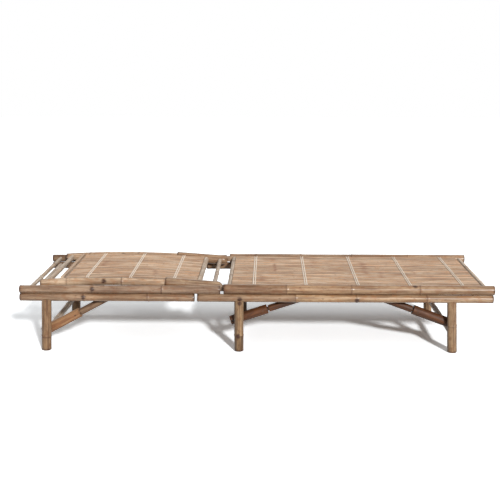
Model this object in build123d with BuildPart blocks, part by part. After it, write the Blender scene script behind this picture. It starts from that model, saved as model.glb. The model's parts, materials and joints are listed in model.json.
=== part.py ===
"""Bamboo sun lounger: seat frame, lifting backrest, head stand and folding prop.

Millimetres. X runs along the lounger towards the foot end, Y across it, Z up.
The origin is on the floor under the middle of the lounger.
"""
import math
import os
from build123d import *

os.makedirs("parts", exist_ok=True)

# Overall size and the joint clearances
overall_length = 2000.0
overall_width = 654.0
fit_clearance = 0.08
lay_clearance = 0.05
move_clearance = 0.6

# Look of a bamboo pole: raised node rings and open hollow ends
node_rise = 1.2
node_half_width = 6.0
node_crest_half = 1.5
bore_share = 0.5
bore_depth = 30.0

# Side rails of the seat
upper_rail_dia = 38.0
rail_butt_dia = 41.0
rail_butt_share = 0.254
lower_rail_dia = 34.0
upper_rail_height = 270.0
rail_stack_gap = 0.3
lower_rail_foot_setback = 3.0
upper_rail_node_shares = (0.488, 0.734)
lower_rail_node_shares = (0.287, 0.506, 0.76)

# Hinge between the seat and the backrest
hinge_from_head = 835.0
seat_rail_from_hinge = 29.0
seat_lower_rail_lead = 82.5
hinge_pin_dia = 12.0
hinge_pin_depth = 24.0
pin_head_dia = 18.0
pin_head_thickness = 3.0
cheek_thickness = 9.0
cheek_height = 26.0
cheek_reach = 105.0

# Rods across the frames
tenon_dia = 12.0
tenon_length = 14.0
seat_head_rod_dia = 22.0
seat_head_rod_from_hinge = 53.0
seat_foot_rod_dia = 19.0
seat_foot_rod_inset = 30.0
support_rod_dia = 16.0

# Mats
slat_thickness = 5.0
slat_edge = 1.2
slat_gap = 0.8
seat_slat_count = 24
seat_mat_from_hinge = 70.0
seat_mat_foot_inset = 50.0
seat_mat_side_gap = 4.0
seat_cord_count = 5
seat_cord_head_inset = 87.0
seat_cord_foot_inset = 77.0
cord_width = 9.0
cord_thickness = 1.6

# Legs and stretchers
head_leg_dia = 42.0
mid_leg_dia = 39.0
foot_leg_dia = 40.0
head_leg_inset = 113.0
mid_leg_from_hinge = 93.0
foot_leg_inset = 176.0
leg_splay = 10.5
head_leg_node = 61.0
mid_leg_node = 69.0
foot_leg_node = 116.0
saddle_depth = 8.0
leg_dowel_dia = 14.0
leg_dowel_depth = 40.0
leg_dowel_rise = 18.0
stretcher_dia = 24.0
stretcher_tenon_dia = 14.0
stretcher_tenon_length = 18.0
head_stretcher_height = 79.5
mid_stretcher_height = 134.0
foot_stretcher_height = 80.0

# Braces: a thick tube on the stretcher, a thin rod pinned to the rail, and a neck between them
brace_rod_dia = 30.0
brace_tube_dia = 41.0
brace_neck_dia = 16.0
brace_neck_gap = 7.0
brace_lap = 60.0
brace_overrun = 15.0
brace_top_drop = 10.0
brace_peg_dia = 10.0
tube_peg_dia = 7.0
tube_peg_inset = 20.0
tube_fork_slot = 6.5
leg_gap = 1.8
head_brace_reach = 264.0
head_tube_start = -26.0
head_tube_end = 156.0
mid_brace_share = 0.298
mid_tube_start = -38.0
mid_tube_end = 127.0
foot_brace_share = 0.327
foot_tube_start = -20.0
foot_tube_end = 172.0

# Pegs between an upper and a lower rail
rail_peg_dia = 9.0
rail_peg_depth = 9.0
seat_rail_peg_shares = (0.193, 0.63, 0.923)
stand_rail_pegs_from_head = (85.0, 330.0, 640.0)

# Arched backrest frame
arch_radius = 4800.0
arch_apex_from_hinge = 459.0
backrest_length = 755.0
backrest_rail_dia = 29.0
backrest_node_from_hinge = (405.0, 640.0)
ring_width = 6.0
sleeve_dia = 44.0
sleeve_length = 221.0
sleeve_gap = 6.0
sleeve_lap = 25.0
socket_clearance = 0.4
sleeve_peg_dia = 6.0
backrest_head_rod_dia = 20.0
backrest_head_rod_from_hinge = 726.0
mat_head_rod_dia = 16.0
mat_foot_rod_dia = 24.0
gap_rod_dia = 19.0
mat_head_rod_from_hinge = 668.0
mat_foot_rod_from_hinge = 81.0
gap_rod_from_hinge = 15.0
backrest_rod_dia = 16.0
backrest_slat_count = 20
backrest_mat_start = 97.0
backrest_mat_end = 650.0
backrest_mat_side_gap = 2.0
backrest_cord_count = 3
backrest_cord_inset = 90.0
head_strip_width = 15.0
head_strip_thickness = 8.0

# Head stand
stand_upper_rail_foot_dia = 35.0
stand_upper_rail_head_dia = 33.0
stand_lower_rail_dia = 32.0
stand_rail_past_hinge = 15.0
stand_flat_before_hinge = 22.0
stand_lower_rail_gap = 11.5
stand_upper_nodes_from_head = (311.0, 605.0)
stand_lower_nodes_from_head = (273.0, 544.0)
stand_end_rod_dia = 17.0
stand_end_rod_inset = 40.0
stand_pivot_from_hinge = 97.0
stand_pivot_rise = 2.0
stand_pivot_dia = 12.0
stand_pivot_depth = 20.0
rest_peg_dia = 14.0
rest_peg_from_hinge = 620.0
catch_rod_dia = 18.0
catch_rod_from_hinge = 547.6

# Prop folded under the backrest
prop_tip_gap = 6.55
prop_pivot_dia = 16.0
prop_pivot_overhang = 10.0
prop_arm_dia = 26.0
prop_arm_length = 475.0
prop_arm_drop = 6.7
prop_arm_inset = 89.0
prop_bar_dia = 22.0
prop_bar_inset = 15.0
prop_tenon_dia = 12.0
prop_tenon_length = 14.0

# Places that follow from the sizes above
SIDES = (("near", -1), ("far", 1))
head_end = -overall_length / 2
foot_end = overall_length / 2
hinge_x = head_end + hinge_from_head
hinge_z = upper_rail_height
seat_length = foot_end - hinge_x
lower_rail_height = upper_rail_height - rail_butt_dia / 2 - rail_stack_gap - lower_rail_dia / 2
brace_top_height = lower_rail_height - brace_top_drop
rail_y = overall_width / 2 - upper_rail_dia / 2
upper_inner_y = rail_y - upper_rail_dia / 2
butt_inner_y = rail_y - rail_butt_dia / 2
stand_inner_y = rail_y - stand_upper_rail_foot_dia / 2
backrest_y = stand_inner_y - sleeve_gap - sleeve_dia / 2
sleeve_outer_y = backrest_y + sleeve_dia / 2
sleeve_inner_y = backrest_y - sleeve_dia / 2
backrest_inner_y = backrest_y - backrest_rail_dia / 2
cheek_inner_y = sleeve_outer_y + move_clearance
cheek_outer_y = cheek_inner_y + cheek_thickness

seat_upper_start = hinge_x + seat_rail_from_hinge
rail_butt_end = hinge_x + rail_butt_share * seat_length
seat_lower_start = hinge_x - seat_lower_rail_lead
seat_lower_end = foot_end - lower_rail_foot_setback
seat_mat_start = hinge_x + seat_mat_from_hinge
seat_mat_end = foot_end - seat_mat_foot_inset
stand_upper_end = hinge_x + stand_rail_past_hinge
stand_lower_end = seat_lower_start - stand_lower_rail_gap
stand_upper_base = lower_rail_height + stand_lower_rail_dia / 2 + node_rise + rail_stack_gap

head_leg_x = head_end + head_leg_inset
mid_leg_x = hinge_x + mid_leg_from_hinge
foot_leg_x = foot_end - foot_leg_inset
leg_span = foot_leg_x - mid_leg_x
mid_brace_reach = mid_brace_share * leg_span
foot_brace_reach = -foot_brace_share * leg_span

arch_x = hinge_x - arch_apex_from_hinge
arch_centre_z = hinge_z - math.sqrt(arch_radius**2 - arch_apex_from_hinge**2)
rail_foot_x = hinge_x - sleeve_length + sleeve_lap
rail_head_x = hinge_x - backrest_length


def spread(first, last, count):
    """Evenly spaced places from first to last."""
    return [first + (last - first) * i / (count - 1) for i in range(count)]


seat_cord_places = spread(
    seat_mat_start + seat_cord_head_inset, seat_mat_end - seat_cord_foot_inset, seat_cord_count
)
backrest_cord_places = spread(
    hinge_x - backrest_mat_start - backrest_cord_inset,
    hinge_x - backrest_mat_end + backrest_cord_inset,
    backrest_cord_count,
)


def arch_point(x, rise=0.0):
    """Point (x, z) on the backrest's arch above the given x, moved out square to the arch by rise."""
    z = arch_centre_z + math.sqrt(arch_radius**2 - (x - arch_x) ** 2)
    share = (arch_radius + rise) / arch_radius
    return arch_x + (x - arch_x) * share, arch_centre_z + (z - arch_centre_z) * share


def axis_plane(start, end):
    """Sketch plane through start whose X runs along the axis to end."""
    along = Vector(*end) - Vector(*start)
    side = Vector(0, 0, 1) if abs(along.Y) > along.length / 2 else Vector(0, 1, 0)
    return Plane(origin=start, x_dir=along, z_dir=side)


def turned(start, end, outline):
    """Round solid about the axis from start to end; outline holds (distance along, radius) points."""
    with BuildPart() as body:
        with BuildSketch(axis_plane(start, end)):
            with BuildLine():
                Polyline(*outline, close=True)
            make_face()
        revolve(axis=Axis(start, Vector(*end) - Vector(*start)))
    return body.part


def bamboo_pole(start, end, start_dia, end_dia, nodes=(), butt_dia=0.0, butt_length=0.0):
    """Tapered pole with open hollow ends, a raised ring at each node and a thicker butt at its start.

    A node is given by its distance along the pole.
    """
    length = (Vector(*end) - Vector(*start)).length
    slope = (end_dia - start_dia) / 2 / length
    bore = min(start_dia, end_dia) / 2 * bore_share
    outline = [(bore_depth, 0), (bore_depth, bore), (0, bore)]
    if butt_dia:
        outline += [(0, butt_dia / 2), (butt_length, butt_dia / 2)]
    outline.append((butt_length, start_dia / 2 + slope * butt_length))
    for place in sorted(nodes):
        crest = start_dia / 2 + slope * place + node_rise
        before = place - node_half_width
        after = place + node_half_width
        outline.append((before, start_dia / 2 + slope * before))
        outline.append((place - node_crest_half, crest))
        outline.append((place + node_crest_half, crest))
        outline.append((after, start_dia / 2 + slope * after))
    outline += [(length, end_dia / 2), (length, bore), (length - bore_depth, bore), (length - bore_depth, 0)]
    return turned(start, end, outline)


def cross_rod(x, z, dia, shoulder_y, tenon, reach):
    """Rod across the lounger: a body between its two shoulders and a thinner tenon at each end."""
    half = shoulder_y - lay_clearance
    end = half + reach
    outline = [
        (0, 0),
        (0, tenon / 2),
        (reach, tenon / 2),
        (reach, dia / 2),
        (reach + 2 * half, dia / 2),
        (reach + 2 * half, tenon / 2),
        (2 * end, tenon / 2),
        (2 * end, 0),
    ]
    return turned((x, -end, z), (x, end, z), outline)


def bar(start, end, dia, mode=Mode.ADD):
    """Plain round bar from start to end, added to the part being built or cut from it."""
    along = Vector(*end) - Vector(*start)
    with Locations(Plane(origin=start, z_dir=along)):
        Cylinder(dia / 2, along.length, align=(Align.CENTER, Align.CENTER, Align.MIN), mode=mode)


def tenon_hole(x, z, inner_y, sign, tenon, reach):
    """Blind hole for the tenon of a cross rod, cut outwards from inner_y."""
    start = (x, sign * (inner_y - lay_clearance - fit_clearance), z)
    end = (x, sign * (inner_y + reach + fit_clearance), z)
    bar(start, end, tenon + 2 * fit_clearance, Mode.SUBTRACT)


def peg_hole(start, end, dia):
    """Hole for a peg, a little wider and longer than the peg itself."""
    along = (Vector(*end) - Vector(*start)).normalized() * fit_clearance
    bar(Vector(*start) - along, Vector(*end) + along, dia + 2 * fit_clearance, Mode.SUBTRACT)


def arched_band(x_start, x_end, low, high, y_start, width):
    """Strip along the arch between two heights above the arch line, added to the part being built."""
    x_middle = (x_start + x_end) / 2
    with BuildSketch(Plane.XZ.offset(-y_start)) as band:
        with BuildLine():
            ThreePointArc(arch_point(x_start, low), arch_point(x_middle, low), arch_point(x_end, low))
            Line(arch_point(x_end, low), arch_point(x_end, high))
            ThreePointArc(arch_point(x_end, high), arch_point(x_middle, high), arch_point(x_start, high))
            Line(arch_point(x_start, high), arch_point(x_start, low))
        make_face()
    extrude(band.sketch, amount=-width)


def leg_axis(top_x, splay, rail_height, rail_dia, sign):
    """Foot point on the floor and top point in the saddle of a leg that leans by splay at its foot."""
    top_z = rail_height - rail_dia / 2 + saddle_depth
    return (top_x + splay, sign * rail_y, 0.0), (top_x, sign * rail_y, top_z)


def point_on(start, end, z):
    """Point of the line from start to end at the height z."""
    share = (z - start[2]) / (end[2] - start[2])
    return tuple(a + (b - a) * share for a, b in zip(start, end))


def leg_dowel(foot, top):
    """Ends of the dowel that runs up the leg's axis into the rail."""
    low_end = point_on(foot, top, top[2] - leg_dowel_depth)
    high_end = point_on(foot, top, top[2] + leg_dowel_rise - saddle_depth)
    return low_end, high_end


def leg_solid(foot, top, dia, rail_dia, stretcher_height, node_height):
    """Leg pole cut flat on the floor, saddled under its rail, and drilled for its dowel and stretcher."""
    sign = 1 if foot[1] > 0 else -1
    below = point_on(foot, top, -dia / 2)
    dowel_start, dowel_end = leg_dowel(foot, top)
    stretcher_x = point_on(foot, top, stretcher_height)[0]
    node_along = (Vector(*point_on(foot, top, node_height)) - Vector(*below)).length
    with BuildPart() as leg:
        add(bamboo_pole(below, top, dia, dia, (node_along,)))
        split(bisect_by=Plane.XY, keep=Keep.TOP)
        cut_start = (top[0] - dia, foot[1], lower_rail_height)
        cut_end = (top[0] + dia, foot[1], lower_rail_height)
        bar(cut_start, cut_end, rail_dia + 2 * lay_clearance, Mode.SUBTRACT)
        peg_hole(dowel_start, dowel_end, leg_dowel_dia)
        inner = rail_y - dia / 2
        tenon_hole(stretcher_x, stretcher_height, inner, sign, stretcher_tenon_dia, stretcher_tenon_length)
    return leg.part


def resting_rise(height, reach):
    """Height of a brace's axis above the stretcher that its tube lies on."""
    contact = brace_tube_dia / 2 + stretcher_dia / 2 + lay_clearance
    rise = contact
    for _ in range(10):
        slope = math.atan((brace_top_height - height - rise) / abs(reach))
        rise = contact / math.cos(slope)
    return rise


class Brace:
    """Axis and places of one slanted brace from a stretcher, beside its leg, up to the lower rail.

    The tube is forked over the stretcher, or lies on it where a rise is given.
    """

    def __init__(self, foot, top, dia, height, reach, tube_start, tube_end, rise=0.0):
        self.sign = 1 if foot[1] > 0 else -1
        self.y = self.sign * (rail_y - dia / 2 - leg_gap - brace_tube_dia / 2)
        low = point_on(foot, top, height)
        self.low = Vector(low[0], self.y, low[2] + rise)
        self.high = Vector(low[0] + reach, self.y, brace_top_height)
        self.along = (self.high - self.low).normalized()
        self.tube_start = tube_start
        self.tube_end = tube_end
        self.forked = not rise

    def at(self, distance):
        """Point on the axis at a distance from the stretcher."""
        point = self.low + self.along * distance
        return point.X, point.Y, point.Z

    def rail_peg(self):
        """Ends of the peg that pins the brace to the lower rail."""
        inside = self.y - self.sign * brace_rod_dia / 2
        return (self.high.X, inside, self.high.Z), (self.high.X, self.sign * rail_y, self.high.Z)

    def tube_peg(self):
        """Ends of the peg that locks the neck in the tube."""
        x, y, z = self.at(self.tube_end - tube_peg_inset)
        half = brace_tube_dia / 2
        return (x, y - half, z), (x, y + half, z)

    def rod(self):
        """Thin rod up to the rail, with a neck that enters the tube."""
        shoulder = self.at(self.tube_end + brace_neck_gap)
        with BuildPart() as rod:
            bar(shoulder, self.at((self.high - self.low).length + brace_overrun), brace_rod_dia)
            bar(self.at(self.tube_end - brace_lap), shoulder, brace_neck_dia)
            peg_hole(*self.rail_peg(), brace_peg_dia)
            peg_hole(*self.tube_peg(), tube_peg_dia)
        return rod.part

    def tube(self):
        """Thick tube, bored for the neck."""
        bore_start = self.at(self.tube_end - brace_lap - fit_clearance)
        bore_dia = brace_neck_dia + 2 * fit_clearance
        with BuildPart() as tube:
            bar(self.at(self.tube_start), self.at(self.tube_end), brace_tube_dia)
            bar(bore_start, self.at(self.tube_end), bore_dia, Mode.SUBTRACT)
            peg_hole(*self.tube_peg(), tube_peg_dia)
            if self.forked:
                self.cut_fork()
        return tube.part

    def cut_fork(self):
        """Cut the stretcher's hole and a slot from it to the tube's end."""
        across = (0, brace_tube_dia, 0)
        centre = Vector(*self.at(0))
        bar(centre - across, centre + across, stretcher_dia + 2 * fit_clearance, Mode.SUBTRACT)
        middle = self.at(self.tube_start / 2)
        with Locations(Plane(origin=middle, x_dir=self.along, z_dir=(0, 1, 0))):
            Box(-self.tube_start, tube_fork_slot, 2 * brace_tube_dia, mode=Mode.SUBTRACT)

    def pegs(self):
        """Add the two pegs to the part being built."""
        bar(*self.rail_peg(), brace_peg_dia)
        bar(*self.tube_peg(), tube_peg_dia)


def legs_and_braces(sign):
    """Leg axes and braces of one side, by the name of the leg."""
    head_axis = leg_axis(head_leg_x, -leg_splay, lower_rail_height, stand_lower_rail_dia, sign)
    mid_axis = leg_axis(mid_leg_x, 0.0, lower_rail_height, lower_rail_dia, sign)
    foot_axis = leg_axis(foot_leg_x, leg_splay, lower_rail_height, lower_rail_dia, sign)
    head_tube = (head_tube_start, head_tube_end)
    mid_tube = (mid_tube_start, mid_tube_end)
    foot_tube = (foot_tube_start, foot_tube_end, resting_rise(foot_stretcher_height, foot_brace_reach))
    head_brace = Brace(*head_axis, head_leg_dia, head_stretcher_height, head_brace_reach, *head_tube)
    mid_brace = Brace(*mid_axis, mid_leg_dia, mid_stretcher_height, mid_brace_reach, *mid_tube)
    foot_brace = Brace(*foot_axis, foot_leg_dia, foot_stretcher_height, foot_brace_reach, *foot_tube)
    axes = {"head": head_axis, "mid": mid_axis, "foot": foot_axis}
    braces = {"head": head_brace, "mid": mid_brace, "foot": foot_brace}
    return axes, braces


LEG_SIZES = {
    "head": (head_leg_dia, stand_lower_rail_dia, head_stretcher_height, head_leg_node),
    "mid": (mid_leg_dia, lower_rail_dia, mid_stretcher_height, mid_leg_node),
    "foot": (foot_leg_dia, lower_rail_dia, foot_stretcher_height, foot_leg_node),
}
seat_peg_places = [hinge_x + share * seat_length for share in seat_rail_peg_shares]
stand_peg_places = [head_end + place for place in stand_rail_pegs_from_head]
seat_foot_rod_x = foot_end - seat_foot_rod_inset
seat_head_rod_x = hinge_x + seat_head_rod_from_hinge
head_rod_reach = cheek_thickness + tenon_length
stand_end_rod_x = head_end + stand_end_rod_inset
catch_rod_x = hinge_x - catch_rod_from_hinge


def rail_inner_y(x):
    """Inner side of the seat's upper rail at x."""
    return butt_inner_y if x < rail_butt_end else upper_inner_y


def rail_peg_ends(x, y, upper_base):
    """Ends of a peg that stands in the lower rail and enters the upper rail from below."""
    return (x, y, lower_rail_height - rail_peg_depth), (x, y, upper_base + rail_peg_depth)


def stand_upper_dia(x):
    """Diameter of the stand's tapered upper rail at x."""
    share = (x - head_end) / (stand_upper_end - head_end)
    return stand_upper_rail_head_dia + (stand_upper_rail_foot_dia - stand_upper_rail_head_dia) * share


def stand_upper_z(x):
    """Height of the axis of the stand's upper rail at x; its underside runs level."""
    return stand_upper_base + stand_upper_dia(x) / 2


seat_upper_base = upper_rail_height - upper_rail_dia / 2
rest_peg_x = hinge_x - rest_peg_from_hinge
rest_peg_z = arch_point(rest_peg_x)[1] - backrest_rail_dia / 2 - move_clearance - rest_peg_dia / 2
stand_pivot_x = hinge_x - stand_pivot_from_hinge
stand_pivot_z = hinge_z + stand_pivot_rise

# Seat rails, legs and braces, one of each on the near and the far side
for side, sign in SIDES:
    y = sign * rail_y
    axes, braces = legs_and_braces(sign)

    with BuildPart() as seat_upper_rail:
        nodes = [hinge_x + share * seat_length - seat_upper_start for share in upper_rail_node_shares]
        rail_start = (seat_upper_start, y, upper_rail_height)
        rail_end = (foot_end, y, upper_rail_height)
        butt = (rail_butt_dia, rail_butt_end - seat_upper_start)
        add(bamboo_pole(rail_start, rail_end, upper_rail_dia, upper_rail_dia, nodes, *butt))
        flat_end = hinge_x + cheek_reach + lay_clearance
        flat_y = sign * (cheek_outer_y + lay_clearance - rail_butt_dia / 2)
        with Locations(((seat_upper_start + flat_end) / 2, flat_y, upper_rail_height)):
            Box(flat_end - seat_upper_start, rail_butt_dia, 2 * rail_butt_dia, mode=Mode.SUBTRACT)
        tenon_hole(seat_head_rod_x, upper_rail_height, cheek_inner_y, sign, tenon_dia, head_rod_reach)
        for x in [*seat_cord_places, seat_foot_rod_x]:
            tenon_hole(x, upper_rail_height, rail_inner_y(x), sign, tenon_dia, tenon_length)
        for x in seat_peg_places:
            peg_hole(*rail_peg_ends(x, y, seat_upper_base), rail_peg_dia)
    seat_upper_rail.part.label = f"seat_upper_rail_{side}"
    export_step(seat_upper_rail.part, f"parts/seat_upper_rail_{side}.step")

    with BuildPart() as seat_lower_rail:
        nodes = [hinge_x + share * seat_length - seat_lower_start for share in lower_rail_node_shares]
        rail_start = (seat_lower_start, y, lower_rail_height)
        rail_end = (seat_lower_end, y, lower_rail_height)
        add(bamboo_pole(rail_start, rail_end, lower_rail_dia, lower_rail_dia, nodes))
        for x in seat_peg_places:
            peg_hole(*rail_peg_ends(x, y, seat_upper_base), rail_peg_dia)
        for name in ("mid", "foot"):
            peg_hole(*leg_dowel(*axes[name]), leg_dowel_dia)
            peg_hole(*braces[name].rail_peg(), brace_peg_dia)
    seat_lower_rail.part.label = f"seat_lower_rail_{side}"
    export_step(seat_lower_rail.part, f"parts/seat_lower_rail_{side}.step")

    for name, leg_sizes in LEG_SIZES.items():
        with BuildPart() as leg:
            add(leg_solid(*axes[name], *leg_sizes))
        leg.part.label = f"{name}_leg_{side}"
        export_step(leg.part, f"parts/{name}_leg_{side}.step")

        with BuildPart() as brace_rod:
            add(braces[name].rod())
        brace_rod.part.label = f"{name}_brace_rod_{side}"
        export_step(brace_rod.part, f"parts/{name}_brace_rod_{side}.step")

        with BuildPart() as brace_tube:
            add(braces[name].tube())
        brace_tube.part.label = f"{name}_brace_tube_{side}"
        export_step(brace_tube.part, f"parts/{name}_brace_tube_{side}.step")

# Stretchers between the near and the far leg
for name, (leg_dia, rail_dia, stretcher_height, leg_node) in LEG_SIZES.items():
    axes, braces = legs_and_braces(1)
    stretcher_x = point_on(*axes[name], stretcher_height)[0]
    shoulder = rail_y - leg_dia / 2
    tenon = (stretcher_tenon_dia, stretcher_tenon_length)
    with BuildPart() as stretcher:
        add(cross_rod(stretcher_x, stretcher_height, stretcher_dia, shoulder, *tenon))
    stretcher.part.label = f"{name}_stretcher"
    export_step(stretcher.part, f"parts/{name}_stretcher.step")

# Cross rods of the seat
with BuildPart() as seat_head_rod:
    place = (seat_head_rod_x, upper_rail_height)
    add(cross_rod(*place, seat_head_rod_dia, cheek_inner_y, tenon_dia, head_rod_reach))
seat_head_rod.part.label = "seat_head_rod"
export_step(seat_head_rod.part, "parts/seat_head_rod.step")

with BuildPart() as seat_foot_rod:
    place = (seat_foot_rod_x, upper_rail_height)
    add(cross_rod(*place, seat_foot_rod_dia, upper_inner_y, tenon_dia, tenon_length))
seat_foot_rod.part.label = "seat_foot_rod"
export_step(seat_foot_rod.part, "parts/seat_foot_rod.step")

with BuildPart() as seat_support_rods:
    for x in seat_cord_places:
        add(cross_rod(x, upper_rail_height, support_rod_dia, rail_inner_y(x), tenon_dia, tenon_length))
seat_support_rods.part.label = "seat_support_rods"
export_step(seat_support_rods.part, "parts/seat_support_rods.step")

# Seat mat: slats with eased top edges on the support rods, and the cords over them
seat_mat_half = upper_inner_y - seat_mat_side_gap
seat_slat_pitch = 2 * seat_mat_half / seat_slat_count
seat_slat_half = (seat_slat_pitch - slat_gap) / 2
seat_slat_base = upper_rail_height + support_rod_dia / 2 + lay_clearance
with BuildPart() as seat_slats:
    for i in range(seat_slat_count):
        slat_y = -seat_mat_half + seat_slat_pitch * (i + 0.5)
        with BuildSketch(Plane.YZ.offset(seat_mat_start)):
            with BuildLine():
                Polyline(
                    (slat_y - seat_slat_half, seat_slat_base),
                    (slat_y + seat_slat_half, seat_slat_base),
                    (slat_y + seat_slat_half, seat_slat_base + slat_thickness - slat_edge),
                    (slat_y + seat_slat_half - slat_edge, seat_slat_base + slat_thickness),
                    (slat_y - seat_slat_half + slat_edge, seat_slat_base + slat_thickness),
                    (slat_y - seat_slat_half, seat_slat_base + slat_thickness - slat_edge),
                    close=True,
                )
            make_face()
        extrude(amount=seat_mat_end - seat_mat_start)
seat_slats.part.label = "seat_slats"
export_step(seat_slats.part, "parts/seat_slats.step")

with BuildPart() as seat_cords:
    cord_base = seat_slat_base + slat_thickness + lay_clearance
    for x in seat_cord_places:
        with Locations((x, 0, cord_base + cord_thickness / 2)):
            Box(cord_width, 2 * seat_mat_half, cord_thickness)
seat_cords.part.label = "seat_cords"
export_step(seat_cords.part, "parts/seat_cords.step")

# Pegs and dowels of the seat frame
with BuildPart() as seat_frame_dowels:
    for side, sign in SIDES:
        axes, braces = legs_and_braces(sign)
        for x in seat_peg_places:
            bar(*rail_peg_ends(x, sign * rail_y, seat_upper_base), rail_peg_dia)
        for name in ("mid", "foot"):
            bar(*leg_dowel(*axes[name]), leg_dowel_dia)
seat_frame_dowels.part.label = "seat_frame_dowels"
export_step(seat_frame_dowels.part, "parts/seat_frame_dowels.step")

with BuildPart() as seat_brace_pegs:
    for side, sign in SIDES:
        axes, braces = legs_and_braces(sign)
        for name in ("mid", "foot"):
            braces[name].pegs()
seat_brace_pegs.part.label = "seat_brace_pegs"
export_step(seat_brace_pegs.part, "parts/seat_brace_pegs.step")

# Hinge: a cheek on each upper rail and a headed pin through it
with BuildPart() as hinge_cheeks:
    for side, sign in SIDES:
        with BuildSketch(Plane.XZ.offset(-sign * cheek_inner_y)):
            with Locations((hinge_x, hinge_z)):
                Circle(cheek_height / 2)
            with Locations((hinge_x + cheek_reach / 2, hinge_z)):
                Rectangle(cheek_reach, cheek_height)
        extrude(amount=-sign * cheek_thickness)
        pin_start = (hinge_x, sign * cheek_inner_y, hinge_z)
        pin_end = (hinge_x, sign * cheek_outer_y, hinge_z)
        peg_hole(pin_start, pin_end, hinge_pin_dia)
        tenon_hole(seat_head_rod_x, hinge_z, cheek_inner_y, sign, tenon_dia, head_rod_reach)
hinge_cheeks.part.label = "hinge_cheeks"
export_step(hinge_cheeks.part, "parts/hinge_cheeks.step")

with BuildPart() as hinge_pins:
    for side, sign in SIDES:
        tip_y = sign * (sleeve_outer_y - hinge_pin_depth)
        head_y = sign * (cheek_outer_y + lay_clearance)
        bar((hinge_x, tip_y, hinge_z), (hinge_x, head_y, hinge_z), hinge_pin_dia)
        bar((hinge_x, head_y, hinge_z), (hinge_x, head_y + sign * pin_head_thickness, hinge_z), pin_head_dia)
hinge_pins.part.label = "hinge_pins"
export_step(hinge_pins.part, "parts/hinge_pins.step")

# Backrest: sleeves at the hinge and arched rails
sleeve_rods = (mat_foot_rod_from_hinge, gap_rod_from_hinge, backrest_mat_start + backrest_cord_inset)
backrest_rods = [hinge_x - mat_head_rod_from_hinge, hinge_x - backrest_head_rod_from_hinge]
backrest_rods += [x for x in backrest_cord_places if x < hinge_x - sleeve_length]
sleeve_head_x = hinge_x - sleeve_length
sleeve_head_z = arch_point(sleeve_head_x)[1]
sleeve_peg_x = sleeve_head_x + sleeve_lap / 2
prop_tip_x = stand_end_rod_x + stand_end_rod_dia / 2 + prop_tip_gap
prop_pivot_x = prop_tip_x + math.sqrt(prop_arm_length**2 - prop_arm_drop**2)
prop_pivot_z = arch_point(prop_pivot_x)[1] - backrest_rail_dia / 2 - lay_clearance - prop_pivot_dia / 2


def rod_place(from_hinge):
    """Place (x, z) on the arch of a backrest rod at its distance from the hinge."""
    return arch_point(hinge_x - from_hinge)


def sleeve_peg_ends(sign):
    """Ends of the peg that locks the rail in its sleeve."""
    z = arch_point(sleeve_peg_x)[1]
    return (sleeve_peg_x, sign * backrest_y, z), (sleeve_peg_x, sign * sleeve_outer_y, z)


def prop_rod_peg_ends(sign):
    """Ends of the peg that holds the prop's pivot rod under the rail."""
    y = sign * backrest_y
    return (prop_pivot_x, y, prop_pivot_z), (prop_pivot_x, y, prop_pivot_z + prop_pivot_dia)


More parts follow.
